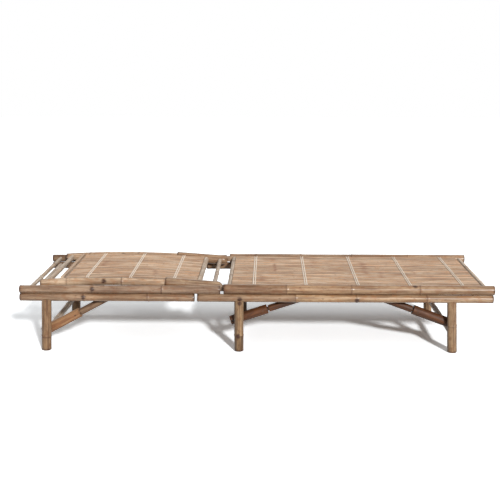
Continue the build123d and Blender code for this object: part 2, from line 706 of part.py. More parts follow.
for side, sign in SIDES:
    y = sign * backrest_y

    with BuildPart() as hinge_sleeve:
        sleeve_start = (sleeve_head_x, y, sleeve_head_z)
        sleeve_run = math.hypot(sleeve_length, sleeve_head_z - hinge_z)
        with BuildSketch(axis_plane(sleeve_start, (hinge_x, y, hinge_z))):
            with BuildLine():
                Line((0, 0), (0, sleeve_dia / 2))
                Line((0, sleeve_dia / 2), (sleeve_run, sleeve_dia / 2))
                RadiusArc((sleeve_run, sleeve_dia / 2), (sleeve_run + sleeve_dia / 2, 0), sleeve_dia / 2)
                Line((sleeve_run + sleeve_dia / 2, 0), (0, 0))
            make_face()
        revolve(axis=Axis(sleeve_start, (sleeve_length, 0, hinge_z - sleeve_head_z)))
        lap_end_x = rail_foot_x + 2 * socket_clearance
        socket_dia = backrest_rail_dia + 2 * socket_clearance
        socket_start = (sleeve_head_x - sleeve_lap, y, arch_point(sleeve_head_x - sleeve_lap)[1])
        bar(socket_start, (lap_end_x, y, arch_point(lap_end_x)[1]), socket_dia, Mode.SUBTRACT)
        for from_hinge in sleeve_rods:
            tenon_hole(*rod_place(from_hinge), sleeve_inner_y, sign, tenon_dia, tenon_length)
        pin_start = (hinge_x, sign * (sleeve_outer_y - hinge_pin_depth), hinge_z)
        peg_hole(pin_start, (hinge_x, sign * sleeve_outer_y, hinge_z), hinge_pin_dia)
        pivot_start = (stand_pivot_x, sign * (sleeve_outer_y - stand_pivot_depth), stand_pivot_z)
        peg_hole(pivot_start, (stand_pivot_x, sign * sleeve_outer_y, stand_pivot_z), stand_pivot_dia)
        peg_hole(*sleeve_peg_ends(sign), sleeve_peg_dia)
    hinge_sleeve.part.label = f"hinge_sleeve_{side}"
    export_step(hinge_sleeve.part, f"parts/hinge_sleeve_{side}.step")

    with BuildPart() as backrest_rail:
        foot_point = arch_point(rail_foot_x)
        middle_point = arch_point((rail_foot_x + rail_head_x) / 2)
        head_point = arch_point(rail_head_x)
        with BuildLine():
            rail_line = ThreePointArc(*((px, y, pz) for px, pz in (foot_point, middle_point, head_point)))
        with BuildSketch(Plane(origin=rail_line @ 0, z_dir=rail_line % 0)):
            Circle(backrest_rail_dia / 2)
        sweep()
        for from_hinge in backrest_node_from_hinge:
            ring_x, ring_z = rod_place(from_hinge)
            ring_dir = (arch_centre_z - ring_z, 0, ring_x - arch_x)
            with Locations(Plane(origin=(ring_x, y, ring_z), z_dir=ring_dir)):
                Cylinder(backrest_rail_dia / 2 + node_rise, ring_width)
        for x in backrest_rods:
            tenon_hole(*arch_point(x), backrest_inner_y, sign, tenon_dia, tenon_length)
        peg_hole(*sleeve_peg_ends(sign), sleeve_peg_dia)
        peg_hole(*prop_rod_peg_ends(sign), sleeve_peg_dia)
    backrest_rail.part.label = f"backrest_rail_{side}"
    export_step(backrest_rail.part, f"parts/backrest_rail_{side}.step")

# Cross rods of the backrest
with BuildPart() as backrest_head_rod:
    place = rod_place(backrest_head_rod_from_hinge)
    add(cross_rod(*place, backrest_head_rod_dia, backrest_inner_y, tenon_dia, tenon_length))
backrest_head_rod.part.label = "backrest_head_rod"
export_step(backrest_head_rod.part, "parts/backrest_head_rod.step")

with BuildPart() as mat_head_rod:
    place = rod_place(mat_head_rod_from_hinge)
    add(cross_rod(*place, mat_head_rod_dia, backrest_inner_y, tenon_dia, tenon_length))
mat_head_rod.part.label = "mat_head_rod"
export_step(mat_head_rod.part, "parts/mat_head_rod.step")

with BuildPart() as mat_foot_rod:
    place = rod_place(mat_foot_rod_from_hinge)
    add(cross_rod(*place, mat_foot_rod_dia, sleeve_inner_y, tenon_dia, tenon_length))
mat_foot_rod.part.label = "mat_foot_rod"
export_step(mat_foot_rod.part, "parts/mat_foot_rod.step")

with BuildPart() as gap_rod:
    place = rod_place(gap_rod_from_hinge)
    add(cross_rod(*place, gap_rod_dia, sleeve_inner_y, tenon_dia, tenon_length))
gap_rod.part.label = "gap_rod"
export_step(gap_rod.part, "parts/gap_rod.step")

with BuildPart() as backrest_support_rods:
    for x in backrest_cord_places:
        shoulder = backrest_inner_y if x < sleeve_head_x else sleeve_inner_y
        add(cross_rod(*arch_point(x), backrest_rod_dia, shoulder, tenon_dia, tenon_length))
backrest_support_rods.part.label = "backrest_support_rods"
export_step(backrest_support_rods.part, "parts/backrest_support_rods.step")

# Backrest mat: arched slats, the strip over its head end and the cords
backrest_mat_half = sleeve_inner_y - backrest_mat_side_gap
backrest_slat_pitch = 2 * backrest_mat_half / backrest_slat_count
backrest_mat_foot_x = hinge_x - backrest_mat_start
backrest_mat_head_x = hinge_x - backrest_mat_end
backrest_slat_low = backrest_rod_dia / 2 + lay_clearance
backrest_slat_high = backrest_slat_low + slat_thickness
with BuildPart() as backrest_slats:
    for i in range(backrest_slat_count):
        slat_y = -backrest_mat_half + backrest_slat_pitch * i + slat_gap / 2
        slat_width = backrest_slat_pitch - slat_gap
        slat_rise = (backrest_slat_low, backrest_slat_high)
        arched_band(backrest_mat_head_x, backrest_mat_foot_x, *slat_rise, slat_y, slat_width)
backrest_slats.part.label = "backrest_slats"
export_step(backrest_slats.part, "parts/backrest_slats.step")

with BuildPart() as mat_head_strip:
    strip_low = mat_head_rod_dia / 2 + lay_clearance
    strip_high = strip_low + head_strip_thickness
    strip_x = hinge_x - mat_head_rod_from_hinge
    strip_start = strip_x - head_strip_width / 2
    strip_end = strip_x + head_strip_width / 2
    arched_band(strip_start, strip_end, strip_low, strip_high, -backrest_mat_half, 2 * backrest_mat_half)
mat_head_strip.part.label = "mat_head_strip"
export_step(mat_head_strip.part, "parts/mat_head_strip.step")

with BuildPart() as backrest_cords:
    cord_low = backrest_slat_high + lay_clearance
    cord_high = cord_low + cord_thickness
    for x in backrest_cord_places:
        cord_start = x - cord_width / 2
        cord_end = x + cord_width / 2
        arched_band(cord_start, cord_end, cord_low, cord_high, -backrest_mat_half, 2 * backrest_mat_half)
backrest_cords.part.label = "backrest_cords"
export_step(backrest_cords.part, "parts/backrest_cords.step")

# Rod that the prop turns on, pegged under the rails
with BuildPart() as prop_pivot_rod:
    pivot_end = backrest_y + prop_pivot_overhang
    bar((prop_pivot_x, -pivot_end, prop_pivot_z), (prop_pivot_x, pivot_end, prop_pivot_z), prop_pivot_dia)
    for side, sign in SIDES:
        peg_hole(*prop_rod_peg_ends(sign), sleeve_peg_dia)
prop_pivot_rod.part.label = "prop_pivot_rod"
export_step(prop_pivot_rod.part, "parts/prop_pivot_rod.step")

with BuildPart() as backrest_pegs:
    for side, sign in SIDES:
        bar(*sleeve_peg_ends(sign), sleeve_peg_dia)
        bar(*prop_rod_peg_ends(sign), sleeve_peg_dia)
backrest_pegs.part.label = "backrest_pegs"
export_step(backrest_pegs.part, "parts/backrest_pegs.step")

# Head stand rails


def stand_pivot_ends(sign):
    """Ends of the peg that pins the stand's upper rail to the hinge sleeve."""
    inner = (stand_pivot_x, sign * (sleeve_outer_y - stand_pivot_depth), stand_pivot_z)
    return inner, (stand_pivot_x, sign * (rail_y + stand_upper_rail_foot_dia / 4), stand_pivot_z)


def rest_peg_ends(sign):
    """Ends of the peg that stands out from the stand's upper rail under the backrest rail."""
    return (rest_peg_x, sign * backrest_inner_y, rest_peg_z), (rest_peg_x, sign * rail_y, rest_peg_z)


stand_end_inner_y = rail_y - stand_upper_dia(stand_end_rod_x) / 2
stand_lower_inner_y = rail_y - stand_lower_rail_dia / 2
for side, sign in SIDES:
    y = sign * rail_y
    axes, braces = legs_and_braces(sign)

    with BuildPart() as stand_upper_rail:
        rail_start = (head_end, y, stand_upper_z(head_end))
        rail_end = (stand_upper_end, y, stand_upper_z(stand_upper_end))
        add(
            bamboo_pole(
                rail_start,
                rail_end,
                stand_upper_rail_head_dia,
                stand_upper_rail_foot_dia,
                stand_upper_nodes_from_head,
            )
        )
        end_rod_z = stand_upper_z(stand_end_rod_x)
        tenon_hole(stand_end_rod_x, end_rod_z, stand_end_inner_y, sign, tenon_dia, tenon_length)
        for x in stand_peg_places:
            peg_hole(*rail_peg_ends(x, y, stand_upper_base), rail_peg_dia)
        peg_hole(*stand_pivot_ends(sign), stand_pivot_dia)
        peg_hole(*rest_peg_ends(sign), rest_peg_dia)
        flat_start = hinge_x - stand_flat_before_hinge
        flat_length = stand_upper_end + move_clearance - flat_start
        flat_side = cheek_outer_y + lay_clearance + pin_head_thickness + move_clearance
        flat_y = sign * (flat_side - stand_upper_rail_foot_dia / 2)
        with Locations((flat_start + flat_length / 2, flat_y, stand_upper_z(stand_upper_end))):
            Box(flat_length, stand_upper_rail_foot_dia, 2 * stand_upper_rail_foot_dia, mode=Mode.SUBTRACT)
    stand_upper_rail.part.label = f"stand_upper_rail_{side}"
    export_step(stand_upper_rail.part, f"parts/stand_upper_rail_{side}.step")

    with BuildPart() as stand_lower_rail:
        rail_start = (head_end, y, lower_rail_height)
        rail_end = (stand_lower_end, y, lower_rail_height)
        add(
            bamboo_pole(
                rail_start, rail_end, stand_lower_rail_dia, stand_lower_rail_dia, stand_lower_nodes_from_head
            )
        )
        for x in stand_peg_places:
            peg_hole(*rail_peg_ends(x, y, stand_upper_base), rail_peg_dia)
        tenon_hole(catch_rod_x, lower_rail_height, stand_lower_inner_y, sign, tenon_dia, tenon_length)
        peg_hole(*leg_dowel(*axes["head"]), leg_dowel_dia)
        peg_hole(*braces["head"].rail_peg(), brace_peg_dia)
    stand_lower_rail.part.label = f"stand_lower_rail_{side}"
    export_step(stand_lower_rail.part, f"parts/stand_lower_rail_{side}.step")

with BuildPart() as stand_end_rod:
    place = (stand_end_rod_x, stand_upper_z(stand_end_rod_x))
    add(cross_rod(*place, stand_end_rod_dia, stand_end_inner_y, tenon_dia, tenon_length))
stand_end_rod.part.label = "stand_end_rod"
export_step(stand_end_rod.part, "parts/stand_end_rod.step")

with BuildPart() as stand_catch_rod:
    place = (catch_rod_x, lower_rail_height)
    add(cross_rod(*place, catch_rod_dia, stand_lower_inner_y, tenon_dia, tenon_length))
stand_catch_rod.part.label = "stand_catch_rod"
export_step(stand_catch_rod.part, "parts/stand_catch_rod.step")

with BuildPart() as stand_pivot_pegs:
    for side, sign in SIDES:
        bar(*stand_pivot_ends(sign), stand_pivot_dia)
stand_pivot_pegs.part.label = "stand_pivot_pegs"
export_step(stand_pivot_pegs.part, "parts/stand_pivot_pegs.step")

with BuildPart() as stand_rest_pegs:
    for side, sign in SIDES:
        bar(*rest_peg_ends(sign), rest_peg_dia)
stand_rest_pegs.part.label = "stand_rest_pegs"
export_step(stand_rest_pegs.part, "parts/stand_rest_pegs.step")

with BuildPart() as stand_pegs:
    for side, sign in SIDES:
        axes, braces = legs_and_braces(sign)
        bar(*leg_dowel(*axes["head"]), leg_dowel_dia)
        braces["head"].pegs()
        for x in stand_peg_places:
            bar(*rail_peg_ends(x, sign * rail_y, stand_upper_base), rail_peg_dia)
stand_pegs.part.label = "stand_pegs"
export_step(stand_pegs.part, "parts/stand_pegs.step")

# Prop: two arms that turn on the pivot rod, joined by a foot bar
prop_arm_spread = backrest_y - prop_arm_inset
prop_tip_z = prop_pivot_z - prop_arm_drop
prop_bar_share = (prop_arm_length - prop_bar_inset) / prop_arm_length
prop_bar_x = prop_pivot_x + (prop_tip_x - prop_pivot_x) * prop_bar_share
prop_bar_z = prop_pivot_z + (prop_tip_z - prop_pivot_z) * prop_bar_share
prop_inner_y = prop_arm_spread - prop_arm_dia / 2
for side, sign in SIDES:
    y = sign * prop_arm_spread
    with BuildPart() as prop_arm:
        with BuildSketch(axis_plane((prop_tip_x, y, prop_tip_z), (prop_pivot_x, y, prop_pivot_z))):
            with BuildLine():
                Line((0, 0), (0, prop_arm_dia / 2))
                Line((0, prop_arm_dia / 2), (prop_arm_length, prop_arm_dia / 2))
                eye_end = prop_arm_length + prop_arm_dia / 2
                RadiusArc((prop_arm_length, prop_arm_dia / 2), (eye_end, 0), prop_arm_dia / 2)
                Line((eye_end, 0), (0, 0))
            make_face()
        arm_run = (prop_pivot_x - prop_tip_x, 0, prop_pivot_z - prop_tip_z)
        revolve(axis=Axis((prop_tip_x, y, prop_tip_z), arm_run))
        eye_start = (prop_pivot_x, y - prop_arm_dia, prop_pivot_z)
        eye_stop = (prop_pivot_x, y + prop_arm_dia, prop_pivot_z)
        peg_hole(eye_start, eye_stop, prop_pivot_dia)
        tenon_hole(prop_bar_x, prop_bar_z, prop_inner_y, sign, prop_tenon_dia, prop_tenon_length)
    prop_arm.part.label = f"prop_arm_{side}"
    export_step(prop_arm.part, f"parts/prop_arm_{side}.step")

with BuildPart() as prop_foot_bar:
    add(cross_rod(prop_bar_x, prop_bar_z, prop_bar_dia, prop_inner_y, prop_tenon_dia, prop_tenon_length))
prop_foot_bar.part.label = "prop_foot_bar"
export_step(prop_foot_bar.part, "parts/prop_foot_bar.step")
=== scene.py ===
"""Looks of the bamboo sun lounger: bamboo poles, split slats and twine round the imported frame.

Metres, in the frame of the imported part: X along the lounger towards the foot end, Y across it, Z up.
The near side is at -Y and faces the camera.
"""
import json
import math
import random
from collections import namedtuple

import bpy
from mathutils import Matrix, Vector, noise


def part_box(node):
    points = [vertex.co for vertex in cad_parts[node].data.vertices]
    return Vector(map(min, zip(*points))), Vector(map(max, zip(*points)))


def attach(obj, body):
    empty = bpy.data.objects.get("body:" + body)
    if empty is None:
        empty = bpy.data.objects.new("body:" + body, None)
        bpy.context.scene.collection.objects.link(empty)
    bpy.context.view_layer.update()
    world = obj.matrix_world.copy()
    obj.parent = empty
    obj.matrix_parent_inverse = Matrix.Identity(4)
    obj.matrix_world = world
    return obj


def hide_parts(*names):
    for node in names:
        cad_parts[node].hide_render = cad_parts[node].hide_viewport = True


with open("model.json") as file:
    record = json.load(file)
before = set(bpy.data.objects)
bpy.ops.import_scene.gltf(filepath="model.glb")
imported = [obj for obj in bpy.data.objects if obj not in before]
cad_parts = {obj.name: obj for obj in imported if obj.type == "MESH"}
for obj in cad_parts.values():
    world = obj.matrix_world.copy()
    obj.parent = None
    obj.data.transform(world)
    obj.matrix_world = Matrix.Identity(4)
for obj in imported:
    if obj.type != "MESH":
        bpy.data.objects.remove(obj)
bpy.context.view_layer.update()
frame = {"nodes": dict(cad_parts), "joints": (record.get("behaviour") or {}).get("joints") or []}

BOTH_SIDES = ("near", "far")

# Camera fitted to the photograph
IMAGE_SIZE = 500.0
SENSOR_WIDTH = 36.0
FOCAL_PIXELS = 917.2
CAMERA_PLACE = (0.0530, -4.0549, 1.2255)
CAMERA_PITCH = 11.85
CAMERA_YAW = 1.185

# Light: one soft sun from the front right and a sky that is brighter overhead
SUN_HEIGHT = 24.5
SUN_TURN = 21.0
SUN_STRENGTH = 3.35
SUN_SPREAD = 5.0
SKY_TOP = 0.65
SKY_HORIZON = 0.09
WHITE = (1.0, 1.0, 1.0, 1.0)

# Floor: its colour as it is seen, and the colour that throws light back on the lounger
FLOOR_SEEN = (1.68, 1.72, 1.75)
FLOOR_PLAIN = (0.4, 0.4, 0.4)
FLOOR_REACH = 30.0

# Mesh fineness
POLE_SIDES = 28
POLE_STATION = 0.014
NODE_STEPS = (-0.010, -0.006, -0.004, -0.0025, -0.0012, 0.0, 0.0012, 0.0025, 0.004, 0.006, 0.010)
KNOT_STEPS = (-0.012, -0.008, -0.004, 0.0, 0.004, 0.008, 0.012)
END_STEPS = (0.3, 1.0)
FLAT_STEP = 0.0003
DOME_STEPS = 6
SLAT_STATION = 0.025
MARK_STEPS = (-1.7, -0.85, 0.0, 0.85, 1.7)
YARN_SIDES = 6
YARN_STEPS = 8
PLACE_DIGITS = 5
TANGENT_REACH = 0.001
STEEP = 0.8
POLE_SMOOTH = 42.0
SLAT_SMOOTH = 30.0
YARN_SMOOTH = 60.0

# Bamboo pole: swollen node with a groove, rounded cut ends, open bore
NODE_RISE = 0.0012
NODE_WIDTH = 0.0045
GROOVE_DEPTH = 0.0009
GROOVE_SHIFT = 0.0025
GROOVE_WIDTH = 0.0012
END_ROUND = 0.0022
FACE_SHARE = 0.93
BORE_SHARE = 0.55
BORE_TAPER = 0.96
BORE_DEPTH = 0.03

# Uneven growth; a lane keeps one use of the noise apart from another
SHIFT_RANGE = (0.0, 50.0)
OUT_OF_ROUND = 0.012
GIRTH_STEP = 0.012
GIRTH_WAVE = 0.008
GIRTH_PACE = 6
GIRTH_LANE = (0.3, 0.7)
WANDER = 0.0008
WANDER_PACE = 3
WANDER_UP_LANE = (4, 0)
WANDER_SIDE_LANE = (0, 9)

# Marks on a pole: dark line at a node, growth knot, darker rim at a cut end
RING_WIDTH = 0.0032
RING_STRENGTH = (0.25, 0.85)
KNOT_SIZE = 0.0098
RIM_WIDTH = 0.005
RIM_DEPTH = 0.6

# Random tints: lighter or darker, warmer or cooler
POLE_TINT = 0.09
SLAT_TINT = 0.13
WARMTH = 0.03
WARM_GREEN = 0.3
WARM_BLUE = 1.6

# Tints of the single culms, from the head end to the foot end; some hold painted shade and some painted
# light, as noted at each
NEAR_UPPER_TINTS = ((0.77, 0.68, 0.6), (1.02, 0.94, 0.83), (0.97, 0.92, 0.85), (0.88, 0.83, 0.77))
NEAR_LOWER_TINTS = ((1.0, 0.97, 0.93), (1.22, 1.2, 1.1), (1.22, 1.2, 1.13), (1.26, 1.28, 1.28))
STAND_UPPER_TINTS = ((0.92, 0.92, 0.96), (0.9, 0.9, 0.96), (0.87, 0.87, 0.92))
STAND_LOWER_TINTS = ((0.86, 0.83, 0.82), (0.98, 0.93, 0.88), (0.95, 0.92, 0.9))
# The far stand rails are darkened with painted shade, for their shadowed inner side
FAR_STAND_UPPER_PAINTED_SHADE = ((0.54, 0.49, 0.44), (0.8, 0.75, 0.7), (0.62, 0.56, 0.5))
FAR_STAND_LOWER_PAINTED_SHADE = ((0.42, 0.36, 0.3), (0.52, 0.45, 0.39), (0.4, 0.33, 0.27))
BACK_RAIL_TINTS = ((1.4, 1.5, 1.6), (1.34, 1.44, 1.52), (1.4, 1.5, 1.6))
# Hinge sleeves: the near one has its own tone; the far one is darker, its own tone and painted shade
SLEEVE_TONE_AND_SHADE = {"near": ((0.9, 0.9, 0.88),), "far": ((0.82, 0.76, 0.7),)}
# The seat's foot rod is lightened all along: painted light for its lit side
FOOT_ROD_PAINTED_LIGHT = ((1.3, 1.32, 1.34),) * 3

# Rails of the seat and the stand
UPPER_RAIL_DIA = 0.0398
BUTT_DIA = 0.041
LOWER_RAIL_DIA = 0.034
STAND_HEAD_DIA = 0.033
STAND_FOOT_DIA = 0.035
STAND_LOWER_DIA = 0.0334
STAND_BASE = 0.2497
FLAT_BEFORE_HINGE = 0.022
FLAT_CLEARANCE = 0.0006

# Rods across: length of the CAD tenons, how far the rods go into the rails, thickness of a hinge cheek
TENON = 0.014
ROD_SINK = 0.006
STRETCHER_SINK = 0.012
CHEEK = 0.009

# Legs: body, diameter, lean along X, height of the node, tints below and above it, knots
# A knot is (height, turn from the foot end)
LEGS = {
    "head_leg": (
        "head_stand", 0.042, -1, 0.061, ((0.8, 0.76, 0.71), (0.84, 0.79, 0.74)), ((0.066, 190),),
    ),
    "mid_leg": (
        "seat_frame", 0.039, 0, 0.069, ((0.47, 0.44, 0.38), (0.88, 0.88, 0.85)), ((0.069, 265), (0.213, 280)),
    ),
    "foot_leg": (
        "seat_frame", 0.040, 1, 0.116, ((0.87, 0.87, 0.86), (0.89, 0.88, 0.87)), (),
    ),
}
LEG_SEED = 40

# Backrest: arch as in the solids, side rails with X of their nodes and knot, hinge sleeves
ARCH_RADIUS = 4.8
ARCH_APEX_FROM_HINGE = 0.459
BACK_RAIL_DIA = 0.0335
BACK_RAIL_SINK = 0.001
BACK_RAIL_NODES = (-0.805, -0.570)
BACK_RAIL_KNOT = (-0.647, 75)
BACK_RAIL_SEED = 60
SLEEVE_DIA = 0.044
SLEEVE_SEED = 62

# Mats: slats with a crowned top, and how far each mat runs past its solid up to the rods
SEAT_SLATS = 24
BACK_SLATS = 20
SEAT_MAT_SEED = 7
BACK_MAT_SEED = 8
SLAT_SEEDS = 100
SLAT_THICKNESS = 0.005
SLAT_GAP = 0.0008
SLAT_CROWN = 0.0013
SLAT_EDGE = 0.0012
SLAT_SHARES = (-0.94, -0.6, -0.2, 0.2, 0.6, 0.94)
SLAT_TILT = 0.0004
SLAT_NARROWING = 0.012
SLAT_WIDTH_PACE = 8
SLAT_WIDTH_LANE = (0.0, 3.1)
SLAT_LIFT = 0.0004
SLAT_LIFT_PACE = 5
SLAT_LIFT_LANE = (1.7, 0.0)
MARK_LIFT = 0.0008
# Painted shade along the long edges of each slat, for the shaded gaps between slats: range of its darkness,
# and the share of the half width where it begins
SEAM_SHADE = (0.25, 0.8)
SEAM_SHARE = 0.9
BACK_SLAT_RISE = 0.00805
SEAT_MAT_REACH = 0.0085
BACK_MAT_REACH = 0.0065

# Faint nodes along a slat
FIRST_MARK = (0.02, 0.3)
MARK_SPACING = (0.2, 0.36)
MARK_STRENGTH = (0.1, 0.4)
MARK_SPREAD = (0.003, 0.006)

# Stains on the slats: place along the mat, from y, to y, strength, spread
SEAT_STAINS = (
    (0.186, -0.02, 0.15, 0.9, 0.007),
    (0.173, 0.20, 0.27, 0.6, 0.012),
    (0.123, -0.22, -0.06, 0.5, 0.016),
    (0.590, -0.06, 0.19, 0.7, 0.014),
    (0.653, -0.14, -0.02, 0.7, 0.012),
    (0.368, 0.12, 0.22, 0.4, 0.010),
    (0.868, -0.2, 0.0, 0.4, 0.010),
)
BACK_STAINS = (
    (0.12, -0.02, 0.08, 0.7, 0.010),
    (0.37, -0.18, -0.09, 0.7, 0.010),
    (0.28, 0.08, 0.16, 0.4, 0.012),
)
STAIN_SCATTER = (-0.5, 0.5)
STAIN_FADE = (0.5, 1.0)

# Twined cords: two rows of two yarns each
SEAT_CORDS = 5
BACK_CORDS = 3
CORD_WIDTH = 0.009
YARN_RADIUS = 0.0015
ROW_SPACING = 0.0095
ROW_SWAY = 0.0013
SWING_SHARPNESS = 2.6
ROW_SHIFT = 3.0
STRAND_SHIFT = 7.0

# Colours, 8-bit sRGB. A skin has a light colour, the deep colour of its fibres and the colour of its mottling
DARK = (80, 46, 26)
KNOT = (54, 24, 6)
CUT = (96, 78, 64)
SLAT_MARK = (128, 72, 36)
RAIL_COLOURS = ((176, 148, 120), (100, 70, 48), (142, 100, 68))
LEG_COLOURS = ((186, 152, 116), (76, 50, 32), (128, 90, 60))
ROD_COLOURS = ((206, 188, 168), (140, 118, 98), (176, 150, 126))
SLAT_COLOURS = ((232, 202, 170), (150, 106, 72), (212, 163, 122))
PEG_COLOURS = ((92, 64, 46), (64, 42, 28), (80, 54, 38))
# Colours of the mid and foot braces: their own dark tone with painted shade of the seat mat above them
BRACE_TONE_AND_SHADE = ((98, 56, 24), (28, 14, 5), (64, 33, 12))
ORANGE_BRACE = ((174, 134, 96), (108, 66, 40), (158, 108, 70))
BROWN_ROD = ((140, 112, 86), (70, 48, 34), (110, 78, 54))
PALE_STRIP = ((214, 188, 160), (160, 126, 98), (196, 160, 128))
PALE_ROD = ((182, 158, 134), (124, 98, 78), (160, 130, 104))
TWINE_LIGHT = (242, 235, 224)
TWINE_DEEP = (212, 199, 180)

# Braces: colours of the tube, colours of the rod, slope in degrees
BRACES = {
    "head": (ORANGE_BRACE, BROWN_ROD, 28.0),
    # The mid and foot braces take colours darkened with painted shade
    "mid": (BRACE_TONE_AND_SHADE, BRACE_TONE_AND_SHADE, 18.0),
    "foot": (BRACE_TONE_AND_SHADE, BRACE_TONE_AND_SHADE, -20.0),
}

# Layers of a skin: noise scale along and across the fibres, its detail and roughness,
# the range of the noise that shows, and how strongly it covers
Layer = namedtuple("Layer", "along across detail roughness low high cover")
FIBRE = Layer(8.0, 420.0, 4.0, 0.55, 0.45, 0.75, 0.5)
BANDS = Layer(7.0, 110.0, 5.0, 0.6, 0.42, 0.6, 0.7)
PATCH = Layer(32.0, 62.0, 4.0, 0.6, 0.5, 0.62, 0.65)
BROAD = Layer(5.0, 14.0, 2.0, 0.55, 0.45, 0.65, 0.45)
FLECK = Layer(55.0, 190.0, 2.0, 0.55, 0.62, 0.7, 0.5)
GRAIN = Layer(120.0, 900.0, 3.0, 0.55, 0.35, 0.7, 1.0)
STRAND = Layer(900.0, 900.0, 2.0, 0.55, 0.35, 0.7, 1.0)

# Other shares in a skin; the ranges are (from low, from high, to low, to high)
RING_COVER = (0.0, 1.0, 0.0, 0.85)
KNOT_UNEVEN = (0.35, 0.6, 0.55, 1.2)
KNOT_COVER = (0.1, 0.6, 0.0, 0.95)
GLOSS_RANGE = (0.3, 0.8)
GLOSSIER = 0.07
DULLER = 0.12
SHEEN = 0.35
BUMP_STRENGTH = 0.25
BUMP_DISTANCE = 0.0006
TWINE_ROUGH = 0.85
CAD_ROUGH = 0.55
STREAKED = 0.8
ALONG_X = (0.0, 0.0, 0.0)
ALONG_Y = (0.0, 0.0, math.pi / 2)

hinge = next(j for j in frame["joints"] if j["name"] == "backrest_hinge")["pos_m"]
arch_x = hinge[0] - ARCH_APEX_FROM_HINGE
arch_z = hinge[2] - math.sqrt(ARCH_RADIUS**2 - ARCH_APEX_FROM_HINGE**2)
stand_flat_x = hinge[0] - FLAT_BEFORE_HINGE
flat_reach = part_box("hinge_pins")[1].y + FLAT_CLEARANCE


# Shapes
def linear(red, green, blue):
    """Scene-linear colour of an 8-bit sRGB colour."""
    made = []
    for value in (red, green, blue):
        share = value / 255
        made.append(share / 12.92 if share < 0.0404 else ((share + 0.055) / 1.055) ** 2.4)
    return tuple(made)


def bell(distance, width):
    """Smooth bump of height 1."""
    return math.exp(-((distance / width) ** 2))


def wave(place, pace, shift, lane):
    """Smooth noise along a pole or slat."""
    return noise.noise(Vector((place * pace + shift, *lane)))


def random_tint(rng, depth):
    """Colour multiplier: lighter or darker, a little pinker or yellower."""
    level = 1.0 + rng.uniform(-depth, depth)
    warm = rng.uniform(-WARMTH, WARMTH)
    return level * (1 + warm), level * (1 - warm * WARM_GREEN), level * (1 - warm * WARM_BLUE)


def arch_point(x, rise=0.0):
    """Point (x, z) of the backrest's arch above x, moved out square to the arch by rise."""
    z = arch_z + math.sqrt(ARCH_RADIUS**2 - (x - arch_x) ** 2)
    share = (ARCH_RADIUS + rise) / ARCH_RADIUS
    return arch_x + (x - arch_x) * share, arch_z + (z - arch_z) * share


def straight(start, end):
    """Path function and length of a straight line."""
    start = Vector(start)
    end = Vector(end)
    length = (end - start).length
    return (lambda s: start + (end - start) * (s / length)), length


def centre_of(name):
    """Middle of a CAD node's box."""
    low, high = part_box(name)
    return (low + high) / 2


class Shell:
    """Points, faces and surface values of one mesh in the making."""

    def __init__(self):
        self.points = []
        self.faces = []
        self.pole = []
        self.tint = []
        self.ring = []
        self.knot = []
        self.cut = []

    def add(self, point, pole, tint=(1.0, 1.0, 1.0), ring=0.0, knot=0.0, cut=0.0):
        """One point with its surface values; returns its number."""
        self.points.append(point)
        self.pole.append(pole)
        self.tint.append(tint)
        self.ring.append(ring)
        self.knot.append(knot)
        self.cut.append(cut)
        return len(self.points) - 1

    def bridge(self, first, second):
        """Quads between two closed rows of the same length."""
        count = len(first)
        for i in range(count):
            j = (i + 1) % count
            self.faces.append((first[i], first[j], second[j], second[i]))

    def build(self, name, material, smooth_angle):
        """Blender object of the mesh with its surface values as attributes."""
        mesh = bpy.data.meshes.new(name)
        mesh.from_pydata(self.points, [], self.faces)
        for label, kind, field, values in (
            ("pole", "FLOAT_VECTOR", "vector", self.pole),
            ("tint", "FLOAT_VECTOR", "vector", self.tint),
            ("ring", "FLOAT", "value", self.ring),
            ("knot", "FLOAT", "value", self.knot),
            ("cut", "FLOAT", "value", self.cut),
        ):
            stored = mesh.attributes.new(label, kind, "POINT")
            flat = [v for value in values for v in value] if kind == "FLOAT_VECTOR" else values
            stored.data.foreach_set(field, flat)
        mesh.shade_smooth()
        mesh.set_sharp_from_angle(angle=math.radians(smooth_angle))
        mesh.materials.append(material)
        mesh.update()
        made = bpy.data.objects.new(name, mesh)
        bpy.context.scene.collection.objects.link(made)
        return made


def dress(shell, name, body, material, smooth_angle=POLE_SMOOTH):
    """Build the shell in place of a CAD node: it rides on its body and has the given material."""
    piece = shell.build("dressed_" + name, material, smooth_angle)
    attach(piece, body)
    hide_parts(name)


def pole_stations(length, nodes, knots, flat, ends):
    """Sorted places along a pole where its mesh has a row."""
    count = max(2, math.ceil(length / POLE_STATION))
    places = [length * i / count for i in range(count + 1)]
    for ring_place in nodes:
        places += [ring_place + step for step in NODE_STEPS]
    for knot_place, _ in knots:
        places += [knot_place + step for step in KNOT_STEPS]
    if flat:
        places += [flat[0], flat[0] + FLAT_STEP]
    if ends[0] == "cut":
        places += [END_ROUND * share for share in END_STEPS]
    if ends[1] == "cut":
        places += [length - END_ROUND * share for share in END_STEPS]
    return sorted({round(place, PLACE_DIGITS) for place in places if 0 <= place <= length})


def end_rounding(distance):
    """How far the surface is drawn in at a distance from a cut end."""
    if distance >= END_ROUND:
        return 0.0
    reach = END_ROUND - max(0.0, distance)
    return END_ROUND - math.sqrt(END_ROUND**2 - reach**2)


